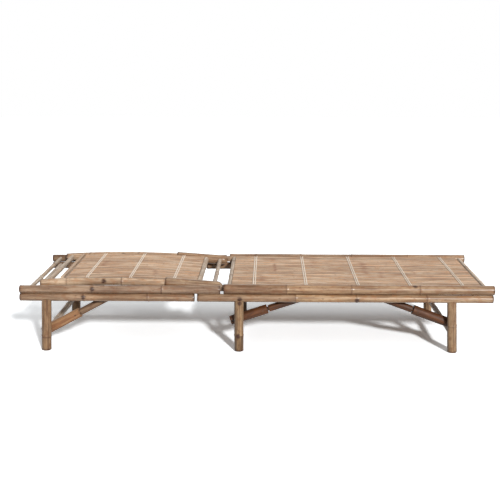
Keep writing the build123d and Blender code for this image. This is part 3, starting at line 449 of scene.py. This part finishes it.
def pole_profile(place, length, nodes, strengths, ends):
    """Change of radius, node line and dark rim at a place along a pole."""
    rise = 0.0
    ring = 0.0
    rim = 0.0
    for ring_place, strength in zip(nodes, strengths):
        away = place - ring_place
        rise += NODE_RISE * bell(away, NODE_WIDTH)
        rise -= GROOVE_DEPTH * bell(away + GROOVE_SHIFT, GROOVE_WIDTH)
        ring = max(ring, strength * bell(away + GROOVE_SHIFT, RING_WIDTH))
    for kind, away in zip(ends, (place, length - place)):
        if kind == "cut":
            rise -= end_rounding(away)
            rim = max(rim, RIM_DEPTH * bell(away, RIM_WIDTH))
    return rise, ring, rim


def knot_shade(place, turn, radius, knots):
    """Darkness of the growth knots at a place and turn of a pole."""
    shade = 0.0
    for knot_place, knot_turn in knots:
        around = (turn - knot_turn + math.pi) % (2 * math.pi) - math.pi
        shade = max(shade, bell(math.hypot(place - knot_place, around * radius), KNOT_SIZE))
    return shade


def add_pole(
    shell, path, length, radius_at, nodes, seed,
    ends=("cut", "cut"), tints=None, knots=(), floor=False, flat=None,
):
    """Bamboo pole along path(s) for s from 0 to length; ends are cut, round or plain.

    A knot is (place, turn). A pole on the floor has a level foot at its start.
    A flat is (place where it starts, Y of its face), on the side of the pole that looks to the middle.
    """
    rng = random.Random(seed)
    nodes = sorted(nodes)
    culms = len(nodes) + 1
    shades = tints or [random_tint(rng, POLE_TINT) for _ in range(culms)]
    shift = rng.uniform(*SHIFT_RANGE)
    oval_turn = rng.uniform(0, math.pi)
    girths = [1 + rng.uniform(-GIRTH_STEP, GIRTH_STEP) for _ in range(culms)]
    strengths = [rng.uniform(*RING_STRENGTH) for _ in nodes]
    direction = (path(length) - path(0.0)).normalized()
    up = Vector((1, 0, 0)) if abs(direction.z) > STEEP else Vector((0, 0, 1))
    rows = []
    for place in pole_stations(length, nodes, knots, flat, ends):
        ahead = path(min(length, place + TANGENT_REACH))
        behind = path(max(0.0, place - TANGENT_REACH))
        tangent = (ahead - behind).normalized()
        normal = (up - tangent * up.dot(tangent)).normalized()
        side = tangent.cross(normal)
        culm = sum(1 for ring_place in nodes if place > ring_place)
        rise, ring, rim = pole_profile(place, length, nodes, strengths, ends)
        swell = 1 + GIRTH_WAVE * wave(place, GIRTH_PACE, shift, GIRTH_LANE)
        radius = radius_at(place) * girths[culm] * swell + rise
        drift = normal * wave(place, WANDER_PACE, shift, WANDER_UP_LANE)
        drift += side * wave(place, WANDER_PACE, shift, WANDER_SIDE_LANE)
        centre = path(place) + drift * WANDER
        row = []
        for i in range(POLE_SIDES):
            turn = 2 * math.pi * i / POLE_SIDES
            reach = radius * (1 + OUT_OF_ROUND * math.cos(2 * turn + oval_turn))
            point = centre + (normal * math.cos(turn) + side * math.sin(turn)) * reach
            if floor:
                point.z = max(0.0, point.z) if place > 0 else 0.0
            if flat and place > flat[0]:
                point.y = min(point.y, flat[1]) if flat[1] < 0 else max(point.y, flat[1])
            pole = (place + shift, math.cos(turn) * radius, math.sin(turn) * radius)
            knot = max(rim, knot_shade(place, turn, radius, knots))
            row.append(shell.add(point, pole, shades[culm], ring, knot))
        rows.append((row, centre, tangent, radius))
    for (first, *_), (second, *_) in zip(rows, rows[1:]):
        shell.bridge(first, second)
    close_end(shell, rows[0], ends[0], -1)
    close_end(shell, rows[-1], ends[1], 1)


def close_end(shell, row_data, kind, direction):
    """Cut face with an open bore, a dome, or a plain disc on the last row of a pole."""
    row, centre, tangent, radius = row_data
    rows = [row]
    if kind == "cut":
        for share, depth in ((FACE_SHARE, 0.0), (BORE_SHARE, 0.0), (BORE_SHARE * BORE_TAPER, BORE_DEPTH)):
            rows.append(shrink(shell, row, centre, share, tangent * (-direction * depth), cut=1.0))
    elif kind == "round":
        for step in range(1, DOME_STEPS):
            angle = math.pi / 2 * step / DOME_STEPS
            rise = tangent * (direction * radius * math.sin(angle))
            rows.append(shrink(shell, row, centre, math.cos(angle), rise, cut=0.0))
    for first, second in zip(rows, rows[1:]):
        if direction > 0:
            shell.bridge(first, second)
        else:
            shell.bridge(second, first)
    last = rows[-1] if direction > 0 else rows[-1][::-1]
    shell.faces.append(tuple(last))


def shrink(shell, row, centre, share, offset, cut):
    """Copy of a row drawn in towards its centre and moved by offset."""
    made = []
    for number in row:
        out = shell.points[number] - centre
        along, across, over = shell.pole[number]
        pole = (along, across * share, over * share)
        made.append(shell.add(centre + out * share + offset, pole, shell.tint[number], cut=cut))
    return made


# Materials
def new_material(name):
    """Node material with its tree and its shader."""
    material = bpy.data.materials.new(name)
    material.use_nodes = True
    tree = material.node_tree
    return material, tree, tree.nodes["Principled BSDF"]


def new_node(tree, kind, **settings):
    """Add a node and set its properties."""
    made = tree.nodes.new(kind)
    for key, value in settings.items():
        setattr(made, key, value)
    return made


def attribute(tree, name, output):
    """Output socket of a mesh attribute."""
    return new_node(tree, "ShaderNodeAttribute", attribute_name=name).outputs[output]


def turned_place(tree, turn):
    """Place on a CAD part, turned so that X runs along its fibres."""
    mapping = new_node(tree, "ShaderNodeMapping")
    mapping.inputs["Rotation"].default_value = turn
    tree.links.new(new_node(tree, "ShaderNodeTexCoord").outputs["Object"], mapping.inputs["Vector"])
    return mapping.outputs["Vector"]


def noise_at(tree, vector, layer):
    """Noise value of a layer, stretched along the fibres."""
    mapping = new_node(tree, "ShaderNodeMapping")
    mapping.inputs["Scale"].default_value = (layer.along, layer.across, layer.across)
    tree.links.new(vector, mapping.inputs["Vector"])
    texture = new_node(tree, "ShaderNodeTexNoise")
    texture.inputs["Scale"].default_value = 1.0
    texture.inputs["Detail"].default_value = layer.detail
    texture.inputs["Roughness"].default_value = layer.roughness
    tree.links.new(mapping.outputs["Vector"], texture.inputs["Vector"])
    return texture.outputs["Fac"]


def spread_of(tree, value, low, high, to_low, to_high):
    """Value between low and high, stretched and held between to_low and to_high."""
    made = new_node(tree, "ShaderNodeMapRange")
    made.inputs["From Min"].default_value = low
    made.inputs["From Max"].default_value = high
    made.inputs["To Min"].default_value = to_low
    made.inputs["To Max"].default_value = to_high
    tree.links.new(value, made.inputs["Value"])
    return made.outputs["Result"]


def cover_of(tree, value, layer):
    """How far a layer covers the colour under it."""
    return spread_of(tree, value, layer.low, layer.high, 0.0, layer.cover)


def mix_colours(tree, factor, first, second, kind="MIX"):
    """Mix two colours by a factor; each may be a socket or a fixed (r, g, b)."""
    made = new_node(tree, "ShaderNodeMixRGB", blend_type=kind)
    for key, value in (("Fac", factor), ("Color1", first), ("Color2", second)):
        if isinstance(value, float):
            made.inputs[key].default_value = value
        elif isinstance(value, tuple):
            made.inputs[key].default_value = (*value, 1.0)
        else:
            tree.links.new(value, made.inputs[key])
    return made.outputs["Color"]


def pole_marks(tree, vector, colour, fleck, dark):
    """Colour with the tints, node lines, knots and cut faces that a dressed mesh carries."""
    colour = mix_colours(tree, 1.0, colour, attribute(tree, "tint", "Color"), "MULTIPLY")
    ring = spread_of(tree, attribute(tree, "ring", "Fac"), *RING_COVER)
    colour = mix_colours(tree, ring, colour, dark)
    uneven = new_node(tree, "ShaderNodeMath", operation="MULTIPLY")
    tree.links.new(attribute(tree, "knot", "Fac"), uneven.inputs[0])
    tree.links.new(spread_of(tree, fleck, *KNOT_UNEVEN), uneven.inputs[1])
    knot = spread_of(tree, uneven.outputs[0], *KNOT_COVER)
    colour = mix_colours(tree, knot, colour, linear(*KNOT))
    grain = noise_at(tree, vector, GRAIN)
    face = mix_colours(tree, cover_of(tree, grain, GRAIN), linear(*CUT), dark)
    return mix_colours(tree, attribute(tree, "cut", "Fac"), colour, face)


def bamboo_material(name, colours, rough, on_cad=None, bands=BANDS, mark=DARK):
    """Bamboo skin: lengthwise bands and fibres, soft mottling and flecks.

    For a CAD part, on_cad is the turn that lays the fibres along it.
    A dressed mesh has its own surface values.
    """
    material, tree, shader = new_material(name)
    light, deep, mottle = [linear(*colour) for colour in colours]
    dark = linear(*mark)
    vector = attribute(tree, "pole", "Vector") if on_cad is None else turned_place(tree, on_cad)
    fibre = noise_at(tree, vector, FIBRE)
    band = noise_at(tree, vector, bands)
    patch = noise_at(tree, vector, PATCH)
    broad = noise_at(tree, vector, BROAD)
    fleck = noise_at(tree, vector, FLECK)
    colour = mix_colours(tree, cover_of(tree, band, bands), light, deep)
    colour = mix_colours(tree, cover_of(tree, fibre, FIBRE), colour, deep)
    colour = mix_colours(tree, cover_of(tree, patch, PATCH), colour, mottle)
    colour = mix_colours(tree, cover_of(tree, broad, BROAD), colour, deep)
    colour = mix_colours(tree, cover_of(tree, fleck, FLECK), colour, dark)
    if on_cad is None:
        colour = pole_marks(tree, vector, colour, fleck, dark)
    tree.links.new(colour, shader.inputs["Base Color"])
    roughness = spread_of(tree, patch, *GLOSS_RANGE, rough - GLOSSIER, rough + DULLER)
    tree.links.new(roughness, shader.inputs["Roughness"])
    shader.inputs["Specular IOR Level"].default_value = SHEEN
    bump = new_node(tree, "ShaderNodeBump")
    bump.inputs["Strength"].default_value = BUMP_STRENGTH
    bump.inputs["Distance"].default_value = BUMP_DISTANCE
    tree.links.new(fibre, bump.inputs["Height"])
    tree.links.new(bump.outputs["Normal"], shader.inputs["Normal"])
    return material


def twine_material():
    """Off-white twisted twine."""
    material, tree, shader = new_material("twine")
    strand = noise_at(tree, attribute(tree, "pole", "Vector"), STRAND)
    colour = mix_colours(tree, cover_of(tree, strand, STRAND), linear(*TWINE_LIGHT), linear(*TWINE_DEEP))
    tree.links.new(colour, shader.inputs["Base Color"])
    shader.inputs["Roughness"].default_value = TWINE_ROUGH
    return material


streaked = BANDS._replace(cover=STREAKED)
rail_skin = bamboo_material("rail_bamboo", RAIL_COLOURS, rough=0.32)
leg_skin = bamboo_material("leg_bamboo", LEG_COLOURS, rough=0.45, bands=streaked)
rod_skin = bamboo_material("rod_bamboo", ROD_COLOURS, rough=0.5)
slat_skin = bamboo_material("slat_bamboo", SLAT_COLOURS, rough=0.52, bands=streaked, mark=SLAT_MARK)
peg_skin = bamboo_material("peg_wood", PEG_COLOURS, rough=0.65, on_cad=ALONG_X)
twine = twine_material()


# Rails and rods
def x_pole(
    name, body, dia, nodes_at, seed, far_dia=None, base=None, butt=None, knots=(), tints=None, flat_x=None
):
    """Bamboo rail along X in place of the CAD rail of that name.

    Nodes are X values. A butt is (diameter, X of its end), a knot is (X, turn from the top to the near side).
    From flat_x on, the inner side is cut flat to clear the heads of the hinge pins.
    """
    low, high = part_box(name)
    middle = centre_of(name)
    last_dia = far_dia or dia
    heights = [middle.z] * 2 if base is None else [base + dia / 2, base + last_dia / 2]
    path, length = straight((low.x, middle.y, heights[0]), (high.x, middle.y, heights[1]))

    def radius_at(s):
        if butt and low.x + s < butt[1]:
            return butt[0] / 2
        return (dia + (last_dia - dia) * s / length) / 2

    nodes = [x - low.x for x in nodes_at]
    marks = [(x - low.x, math.radians(turn)) for x, turn in knots]
    flat = None
    if flat_x is not None:
        flat = (flat_x - low.x, math.copysign(flat_reach, middle.y))
    shell = Shell()
    add_pole(shell, path, length, radius_at, nodes, seed, tints=tints, knots=marks, flat=flat)
    dress(shell, name, body, rail_skin)


def y_rod(name, body, dia, nodes_at, seed, sink=ROD_SINK, tints=None):
    """Bamboo rod across the lounger in place of the CAD rod of that name, let into the rails by sink."""
    low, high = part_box(name)
    middle = centre_of(name)
    half = (high.y - low.y) / 2 - TENON + sink
    path, length = straight((middle.x, -half, middle.z), (middle.x, half, middle.z))
    nodes = [y + half for y in nodes_at]
    shell = Shell()
    add_pole(shell, path, length, lambda s: dia / 2, nodes, seed, ("plain", "plain"), tints)
    dress(shell, name, body, rod_skin)


x_pole("seat_upper_rail_near", "seat_frame", UPPER_RAIL_DIA, (0.131, 0.404, 0.690), seed=11,
       butt=(BUTT_DIA, 0.131), knots=((0.668, 20),), tints=NEAR_UPPER_TINTS)
x_pole("seat_upper_rail_far", "seat_frame", UPPER_RAIL_DIA, (-0.008, 0.211, 0.456, 0.727), seed=12,
       butt=(BUTT_DIA, 0.211))
x_pole("seat_lower_rail_near", "seat_frame", LOWER_RAIL_DIA, (0.169, 0.425, 0.720), seed=13,
       knots=((0.425, 110), (-0.068, 100)), tints=NEAR_LOWER_TINTS)
x_pole("seat_lower_rail_far", "seat_frame", LOWER_RAIL_DIA, (0.120, 0.390, 0.660), seed=14)
x_pole("stand_upper_rail_near", "head_stand", STAND_HEAD_DIA, (-0.689, -0.395), seed=15,
       far_dia=STAND_FOOT_DIA, base=STAND_BASE, knots=((-0.690, 75),), tints=STAND_UPPER_TINTS,
       flat_x=stand_flat_x)
# The far stand rails carry painted shade in their tints
x_pole("stand_upper_rail_far", "head_stand", STAND_HEAD_DIA, (-0.730, -0.430), seed=16,
       far_dia=STAND_FOOT_DIA, base=STAND_BASE, tints=FAR_STAND_UPPER_PAINTED_SHADE, flat_x=stand_flat_x)
x_pole("stand_lower_rail_near", "head_stand", STAND_LOWER_DIA, (-0.727, -0.456), seed=17,
       knots=((-0.728, 80),), tints=STAND_LOWER_TINTS)
x_pole("stand_lower_rail_far", "head_stand", STAND_LOWER_DIA, (-0.800, -0.520), seed=18,
       tints=FAR_STAND_LOWER_PAINTED_SHADE)

# The foot rod's tints are painted light
y_rod("seat_foot_rod", "seat_frame", dia=0.019, nodes_at=(-0.18, 0.11), seed=21, tints=FOOT_ROD_PAINTED_LIGHT)
y_rod("stand_end_rod", "head_stand", dia=0.017, nodes_at=(-0.09, 0.15), seed=22)
y_rod("backrest_head_rod", "backrest", dia=0.020, nodes_at=(-0.02, 0.19), seed=23)
y_rod("mat_head_rod", "backrest", dia=0.016, nodes_at=(0.05,), seed=24)
y_rod("mat_foot_rod", "backrest", dia=0.024, nodes_at=(-0.14, 0.08), seed=25)
y_rod("gap_rod", "backrest", dia=0.019, nodes_at=(-0.03, 0.17), seed=26)
y_rod("stand_catch_rod", "head_stand", dia=0.018, nodes_at=(-0.1, 0.13), seed=27)
y_rod("prop_foot_bar", "prop", dia=0.022, nodes_at=(0.04,), seed=28)
y_rod("head_stretcher", "head_stand", dia=0.024, nodes_at=(-0.11, 0.12), seed=31, sink=STRETCHER_SINK)
y_rod("mid_stretcher", "seat_frame", dia=0.024, nodes_at=(-0.05, 0.16), seed=32, sink=STRETCHER_SINK)
y_rod("foot_stretcher", "seat_frame", dia=0.024, nodes_at=(-0.13, 0.09), seed=33, sink=STRETCHER_SINK)
y_rod("seat_head_rod", "seat_frame", dia=0.022, nodes_at=(-0.08, 0.2), seed=29, sink=ROD_SINK - CHEEK)


# Legs
def leg(kind, side, seed):
    """Bamboo leg from the floor up into its saddle under the rail."""
    name = f"{kind}_{side}"
    body, dia, lean, ring_height, tints, spots = LEGS[kind]
    low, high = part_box(name)
    middle = centre_of(name)
    spare = (high.x - low.x) / 2 - dia / 2
    foot = (middle.x + lean * spare, middle.y, 0.0)
    top = (middle.x - lean * spare, middle.y, high.z)
    path, length = straight(foot, top)
    knots = [(height, math.radians(turn)) for height, turn in spots]
    shell = Shell()
    add_pole(
        shell, path, length, lambda s: dia / 2, (ring_height,), seed,
        ends=("cut", "plain"), tints=tints, knots=knots, floor=True,
    )
    dress(shell, name, body, leg_skin)


for number, kind in enumerate(LEGS):
    for offset, side in enumerate(BOTH_SIDES):
        leg(kind, side, LEG_SEED + 2 * number + offset)


# Arched backrest rails and their hinge sleeves
def arched_rail(side, seed):
    """Arched side rail of the backrest."""
    name = f"backrest_rail_{side}"
    low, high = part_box(name)
    y = centre_of(name).y

    def path(s):
        x, z = arch_point(low.x + s, -BACK_RAIL_SINK)
        return Vector((x, y, z))

    knot_x, knot_turn = BACK_RAIL_KNOT
    nodes = [x - low.x for x in BACK_RAIL_NODES]
    knots = [(knot_x - low.x, math.radians(knot_turn))]
    shell = Shell()
    add_pole(
        shell, path, high.x - low.x, lambda s: BACK_RAIL_DIA / 2, nodes, seed,
        ends=("cut", "plain"), tints=BACK_RAIL_TINTS, knots=knots,
    )
    dress(shell, name, "backrest", rail_skin)


def sleeve(side, seed):
    """Thick bamboo sleeve between the arched rail and the hinge pin, with a rounded end."""
    name = f"hinge_sleeve_{side}"
    head_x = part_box(name)[0].x
    y = centre_of(name).y
    path, length = straight((head_x, y, arch_point(head_x)[1]), (hinge[0], y, hinge[2]))
    shell = Shell()
    # The far sleeve's tint holds painted shade as well as its own tone
    add_pole(shell, path, length, lambda s: SLEEVE_DIA / 2, (), seed, ("cut", "round"), SLEEVE_TONE_AND_SHADE[side])
    dress(shell, name, "backrest", rail_skin)


for offset, side in enumerate(BOTH_SIDES):
    arched_rail(side, BACK_RAIL_SEED + offset)
    sleeve(side, SLEEVE_SEED + offset)


# Mats
def slat_outline(half, tilt):
    """Cross-section of a slat with a crowned top, as (across, rise)."""
    shoulder = SLAT_THICKNESS - SLAT_EDGE
    outline = [(-half, 0.0), (-half, shoulder)]
    for share in SLAT_SHARES:
        outline.append((half * share, SLAT_THICKNESS - SLAT_CROWN * share**2 + tilt * share))
    return outline + [(half, shoulder), (half, 0.0)]


def slat_stations(length, marks):
    """Sorted places along a slat where its mesh has a row."""
    count = math.ceil(length / SLAT_STATION)
    places = [length * i / count for i in range(count + 1)]
    for mark_place, _, spread in marks:
        places += [mark_place + step * spread for step in MARK_STEPS]
    return sorted({round(place, PLACE_DIGITS) for place in places if 0 <= place <= length})


def add_slat(shell, length, width, surface, seed, marks, tint):
    """Split bamboo slat.

    surface(s, across, rise) gives a point on it, and marks are (place, strength, spread).
    """
    rng = random.Random(seed)
    shift = rng.uniform(*SHIFT_RANGE)
    tilt = rng.uniform(-SLAT_TILT, SLAT_TILT)
    # Darkness of the painted shade along each long edge
    seams = [rng.uniform(*SEAM_SHADE) for _ in range(2)]
    rows = []
    for place in slat_stations(length, marks):
        narrowing = SLAT_NARROWING * (1 + wave(place, SLAT_WIDTH_PACE, shift, SLAT_WIDTH_LANE))
        half = width / 2 * (1 - narrowing)
        ring = max([strength * bell(place - mark, spread) for mark, strength, spread in marks], default=0.0)
        lift = SLAT_LIFT * wave(place, SLAT_LIFT_PACE, shift, SLAT_LIFT_LANE) + MARK_LIFT * ring
        row = []
        for across, rise in slat_outline(half, tilt):
            on_top = rise > 0
            point = surface(place, across, rise + (lift if on_top else 0.0))
            # Painted shade on the slat's edges, at the gaps between slats
            shade = seams[int(across > 0)] if abs(across) > SEAM_SHARE * half else 1.0
            colour = tuple(value * shade for value in tint)
            row.append(shell.add(point, (place + shift, across, rise), colour, ring if on_top else 0.0))
        rows.append(row)
    for first, second in zip(rows, rows[1:]):
        shell.bridge(second, first)
    shell.faces.append(tuple(rows[0]))
    shell.faces.append(tuple(rows[-1][::-1]))


def slat_marks(rng, length, y, stains):
    """Faint nodes at random places and the brown stains that lie across the slat at y."""
    marks = []
    place = rng.uniform(*FIRST_MARK)
    while place < length:
        marks.append((place, rng.uniform(*MARK_STRENGTH), rng.uniform(*MARK_SPREAD)))
        place += rng.uniform(*MARK_SPACING)
    for stain_place, y_low, y_high, strength, spread in stains:
        if y_low <= y <= y_high:
            place = stain_place + rng.uniform(*STAIN_SCATTER) * spread
            marks.append((place, strength * rng.uniform(*STAIN_FADE), spread))
    return marks


def mat(name, body, count, surface, length, half, stains, seed):
    """Mat of slats side by side in place of the CAD node."""
    rng = random.Random(seed)
    shell = Shell()
    pitch = 2 * half / count
    for i in range(count):
        y = -half + pitch * (i + 0.5)
        marks = slat_marks(rng, length, y, stains)
        tint = random_tint(rng, SLAT_TINT)

        def slat_surface(s, across, rise, y=y):
            return surface(s, y + across, rise)

        add_slat(shell, length, pitch - SLAT_GAP, slat_surface, seed * SLAT_SEEDS + i, marks, tint)
    dress(shell, name, body, slat_skin, SLAT_SMOOTH)


seat_low, seat_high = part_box("seat_slats")
back_low, back_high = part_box("backrest_slats")
seat_length = seat_high.x - seat_low.x + SEAT_MAT_REACH
back_length = back_high.x - back_low.x + BACK_MAT_REACH


def seat_surface(s, y, rise):
    """Point of the flat seat mat."""
    return Vector((seat_low.x - SEAT_MAT_REACH + s, y, seat_low.z + rise))


def back_surface(s, y, rise):
    """Point of the arched backrest mat."""
    x, z = arch_point(back_low.x + s, BACK_SLAT_RISE + rise)
    return Vector((x, y, z))


mat("seat_slats", "seat_frame", SEAT_SLATS, seat_surface, seat_length, seat_high.y,
    SEAT_STAINS, SEAT_MAT_SEED)
mat("backrest_slats", "backrest", BACK_SLATS, back_surface, back_length, back_high.y,
    BACK_STAINS, BACK_MAT_SEED)


# Twined cords
def add_yarn(shell, points, shift):
    """Round yarn through the points."""
    rows = []
    travelled = 0.0
    for i, point in enumerate(points):
        ahead = points[min(i + 1, len(points) - 1)]
        behind = points[max(i - 1, 0)]
        tangent = (ahead - behind).normalized()
        normal = (Vector((1, 0, 0)) - tangent * tangent.x).normalized()
        side = tangent.cross(normal)
        travelled += (point - behind).length
        row = []
        for k in range(YARN_SIDES):
            turn = 2 * math.pi * k / YARN_SIDES
            out = (normal * math.cos(turn) + side * math.sin(turn)) * YARN_RADIUS
            row.append(shell.add(point + out, (travelled + shift, out.x, out.z)))
        rows.append(row)
    for first, second in zip(rows, rows[1:]):
        shell.bridge(first, second)
    shell.faces.append(tuple(rows[0][::-1]))
    shell.faces.append(tuple(rows[-1]))


def cord_places(name, count):
    """X of the cords' middles, worked out from the CAD node's box."""
    low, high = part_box(name)
    first = low.x + CORD_WIDTH / 2
    last = high.x - CORD_WIDTH / 2
    return [first + (last - first) * i / (count - 1) for i in range(count)]


def bindings(name, body, places, slats, half, undersides):
    """Twined double rows of yarn across a mat: each yarn goes over one slat and under the next."""
    shell = Shell()
    pitch = 2 * half / slats
    reach = SLAT_THICKNESS / 2 + YARN_RADIUS
    for x, under in zip(places, undersides):
        middle = under + SLAT_THICKNESS / 2
        for row, side in enumerate((-1, 1)):
            for strand in (0, 1):
                points = []
                for step in range(slats * YARN_STEPS + 1):
                    share = step / YARN_STEPS
                    phase = math.pi * (share - 0.5 + strand)
                    swing = math.tanh(SWING_SHARPNESS * math.cos(phase)) / math.tanh(SWING_SHARPNESS)
                    sway = side * (ROW_SPACING / 2 + ROW_SWAY * math.sin(phase))
                    points.append(Vector((x + sway, -half + pitch * share, middle + reach * swing)))
                add_yarn(shell, points, ROW_SHIFT * row + STRAND_SHIFT * strand + x)
    dress(shell, name, body, twine, YARN_SMOOTH)


seat_cords = cord_places("seat_cords", SEAT_CORDS)
back_cords = cord_places("backrest_cords", BACK_CORDS)
back_undersides = [arch_point(x, BACK_SLAT_RISE)[1] for x in back_cords]
bindings("seat_cords", "seat_frame", seat_cords, SEAT_SLATS, seat_high.y, [seat_low.z] * SEAT_CORDS)
bindings("backrest_cords", "backrest", back_cords, BACK_SLATS, back_high.y, back_undersides)


# CAD parts that keep their shape and get a skin
def paint(material, *names):
    """Give CAD nodes a material."""
    for name in names:
        part = frame["nodes"][name]
        part.data.materials.clear()
        part.data.materials.append(material)


def cad_skin(name, colours, turn):
    """Bamboo skin for a CAD part whose fibres run along a direction turned from X."""
    return bamboo_material(name, colours, CAD_ROUGH, on_cad=turn)


rod_across = cad_skin("rod_across", PALE_ROD, ALONG_Y)
rod_along = cad_skin("rod_along", BROWN_ROD, ALONG_X)
for kind, (tube_colours, rod_colours, slope) in BRACES.items():
    along_brace = (0.0, math.radians(slope), 0.0)
    tube_skin = cad_skin(f"{kind}_brace_skin", tube_colours, along_brace)
    brace_rod_skin = cad_skin(f"{kind}_brace_rod_skin", rod_colours, along_brace)
    for side in BOTH_SIDES:
        paint(tube_skin, f"{kind}_brace_tube_{side}")
        paint(brace_rod_skin, f"{kind}_brace_rod_{side}")
paint(rod_across, "seat_support_rods", "backrest_support_rods", "prop_pivot_rod", "stand_rest_pegs")
paint(rod_along, "prop_arm_near", "prop_arm_far")
paint(cad_skin("strip_skin", PALE_STRIP, ALONG_Y), "mat_head_strip")
paint(cad_skin("cheek_skin", PALE_ROD, ALONG_X), "hinge_cheeks")
paint(peg_skin, "hinge_pins", "stand_pivot_pegs", "stand_pegs", "backrest_pegs", "seat_frame_dowels",
      "seat_brace_pegs")


# Floor, light and camera
def seen_ray(tree):
    """1 for camera, glossy and transmission rays, 0 for the others."""
    path = new_node(tree, "ShaderNodeLightPath")
    mirrored = new_node(tree, "ShaderNodeMath", operation="MAXIMUM")
    either = new_node(tree, "ShaderNodeMath", operation="MAXIMUM")
    tree.links.new(path.outputs["Is Glossy Ray"], mirrored.inputs[0])
    tree.links.new(path.outputs["Is Transmission Ray"], mirrored.inputs[1])
    tree.links.new(path.outputs["Is Camera Ray"], either.inputs[0])
    tree.links.new(mirrored.outputs[0], either.inputs[1])
    return either.outputs[0]


def choose_by_ray(tree, plain, seen, output):
    """Show the shader seen to the rays that see, and plain to the others."""
    choose = new_node(tree, "ShaderNodeMixShader")
    tree.links.new(seen_ray(tree), choose.inputs[0])
    tree.links.new(plain.outputs[0], choose.inputs[1])
    tree.links.new(seen.outputs[0], choose.inputs[2])
    tree.links.new(choose.outputs[0], output.inputs["Surface"])


def add_floor():
    """Pale floor that looks white where it is lit and keeps the shadow."""
    bpy.ops.mesh.primitive_plane_add(size=FLOOR_REACH)
    floor = bpy.context.object
    floor.name = "floor"
    material = bpy.data.materials.new("floor")
    material.use_nodes = True
    tree = material.node_tree
    tree.nodes.clear()
    output = new_node(tree, "ShaderNodeOutputMaterial")
    seen = new_node(tree, "ShaderNodeBsdfDiffuse")
    seen.inputs["Color"].default_value = (*FLOOR_SEEN, 1.0)
    plain = new_node(tree, "ShaderNodeBsdfDiffuse")
    plain.inputs["Color"].default_value = (*FLOOR_PLAIN, 1.0)
    choose_by_ray(tree, plain, seen, output)
    floor.data.materials.append(material)


def add_sky():
    """World light: bright overhead, dimmer at the horizon, and plain white where it is seen."""
    world = bpy.data.worlds.new("studio")
    bpy.context.scene.world = world
    world.use_nodes = True
    tree = world.node_tree
    tree.nodes.clear()
    output = new_node(tree, "ShaderNodeOutputWorld")
    place = new_node(tree, "ShaderNodeTexCoord")
    parts = new_node(tree, "ShaderNodeSeparateXYZ")
    tree.links.new(place.outputs["Generated"], parts.inputs["Vector"])
    light = new_node(tree, "ShaderNodeBackground")
    light.inputs["Color"].default_value = WHITE
    strength = spread_of(tree, parts.outputs["Z"], 0.0, 1.0, SKY_HORIZON, SKY_TOP)
    tree.links.new(strength, light.inputs["Strength"])
    seen = new_node(tree, "ShaderNodeBackground")
    seen.inputs["Color"].default_value = WHITE
    choose_by_ray(tree, light, seen, output)


def add_sun():
    """Soft sun from the front right."""
    data = bpy.data.lights.new("sun", "SUN")
    data.energy = SUN_STRENGTH
    data.angle = math.radians(SUN_SPREAD)
    lamp = bpy.data.objects.new("sun", data)
    lamp.rotation_euler = (math.radians(90 - SUN_HEIGHT), 0.0, math.radians(SUN_TURN))
    bpy.context.scene.collection.objects.link(lamp)


def add_camera():
    """Camera at the photograph's viewing angle."""
    data = bpy.data.cameras.new("camera")
    data.sensor_width = SENSOR_WIDTH
    data.lens = FOCAL_PIXELS / IMAGE_SIZE * SENSOR_WIDTH
    made = bpy.data.objects.new("camera", data)
    made.location = CAMERA_PLACE
    made.rotation_euler = (math.radians(90 - CAMERA_PITCH), 0.0, math.radians(CAMERA_YAW))
    bpy.context.scene.collection.objects.link(made)
    bpy.context.scene.camera = made


add_floor()
add_sky()
add_sun()
add_camera()
bpy.context.scene.view_settings.view_transform = "Standard"
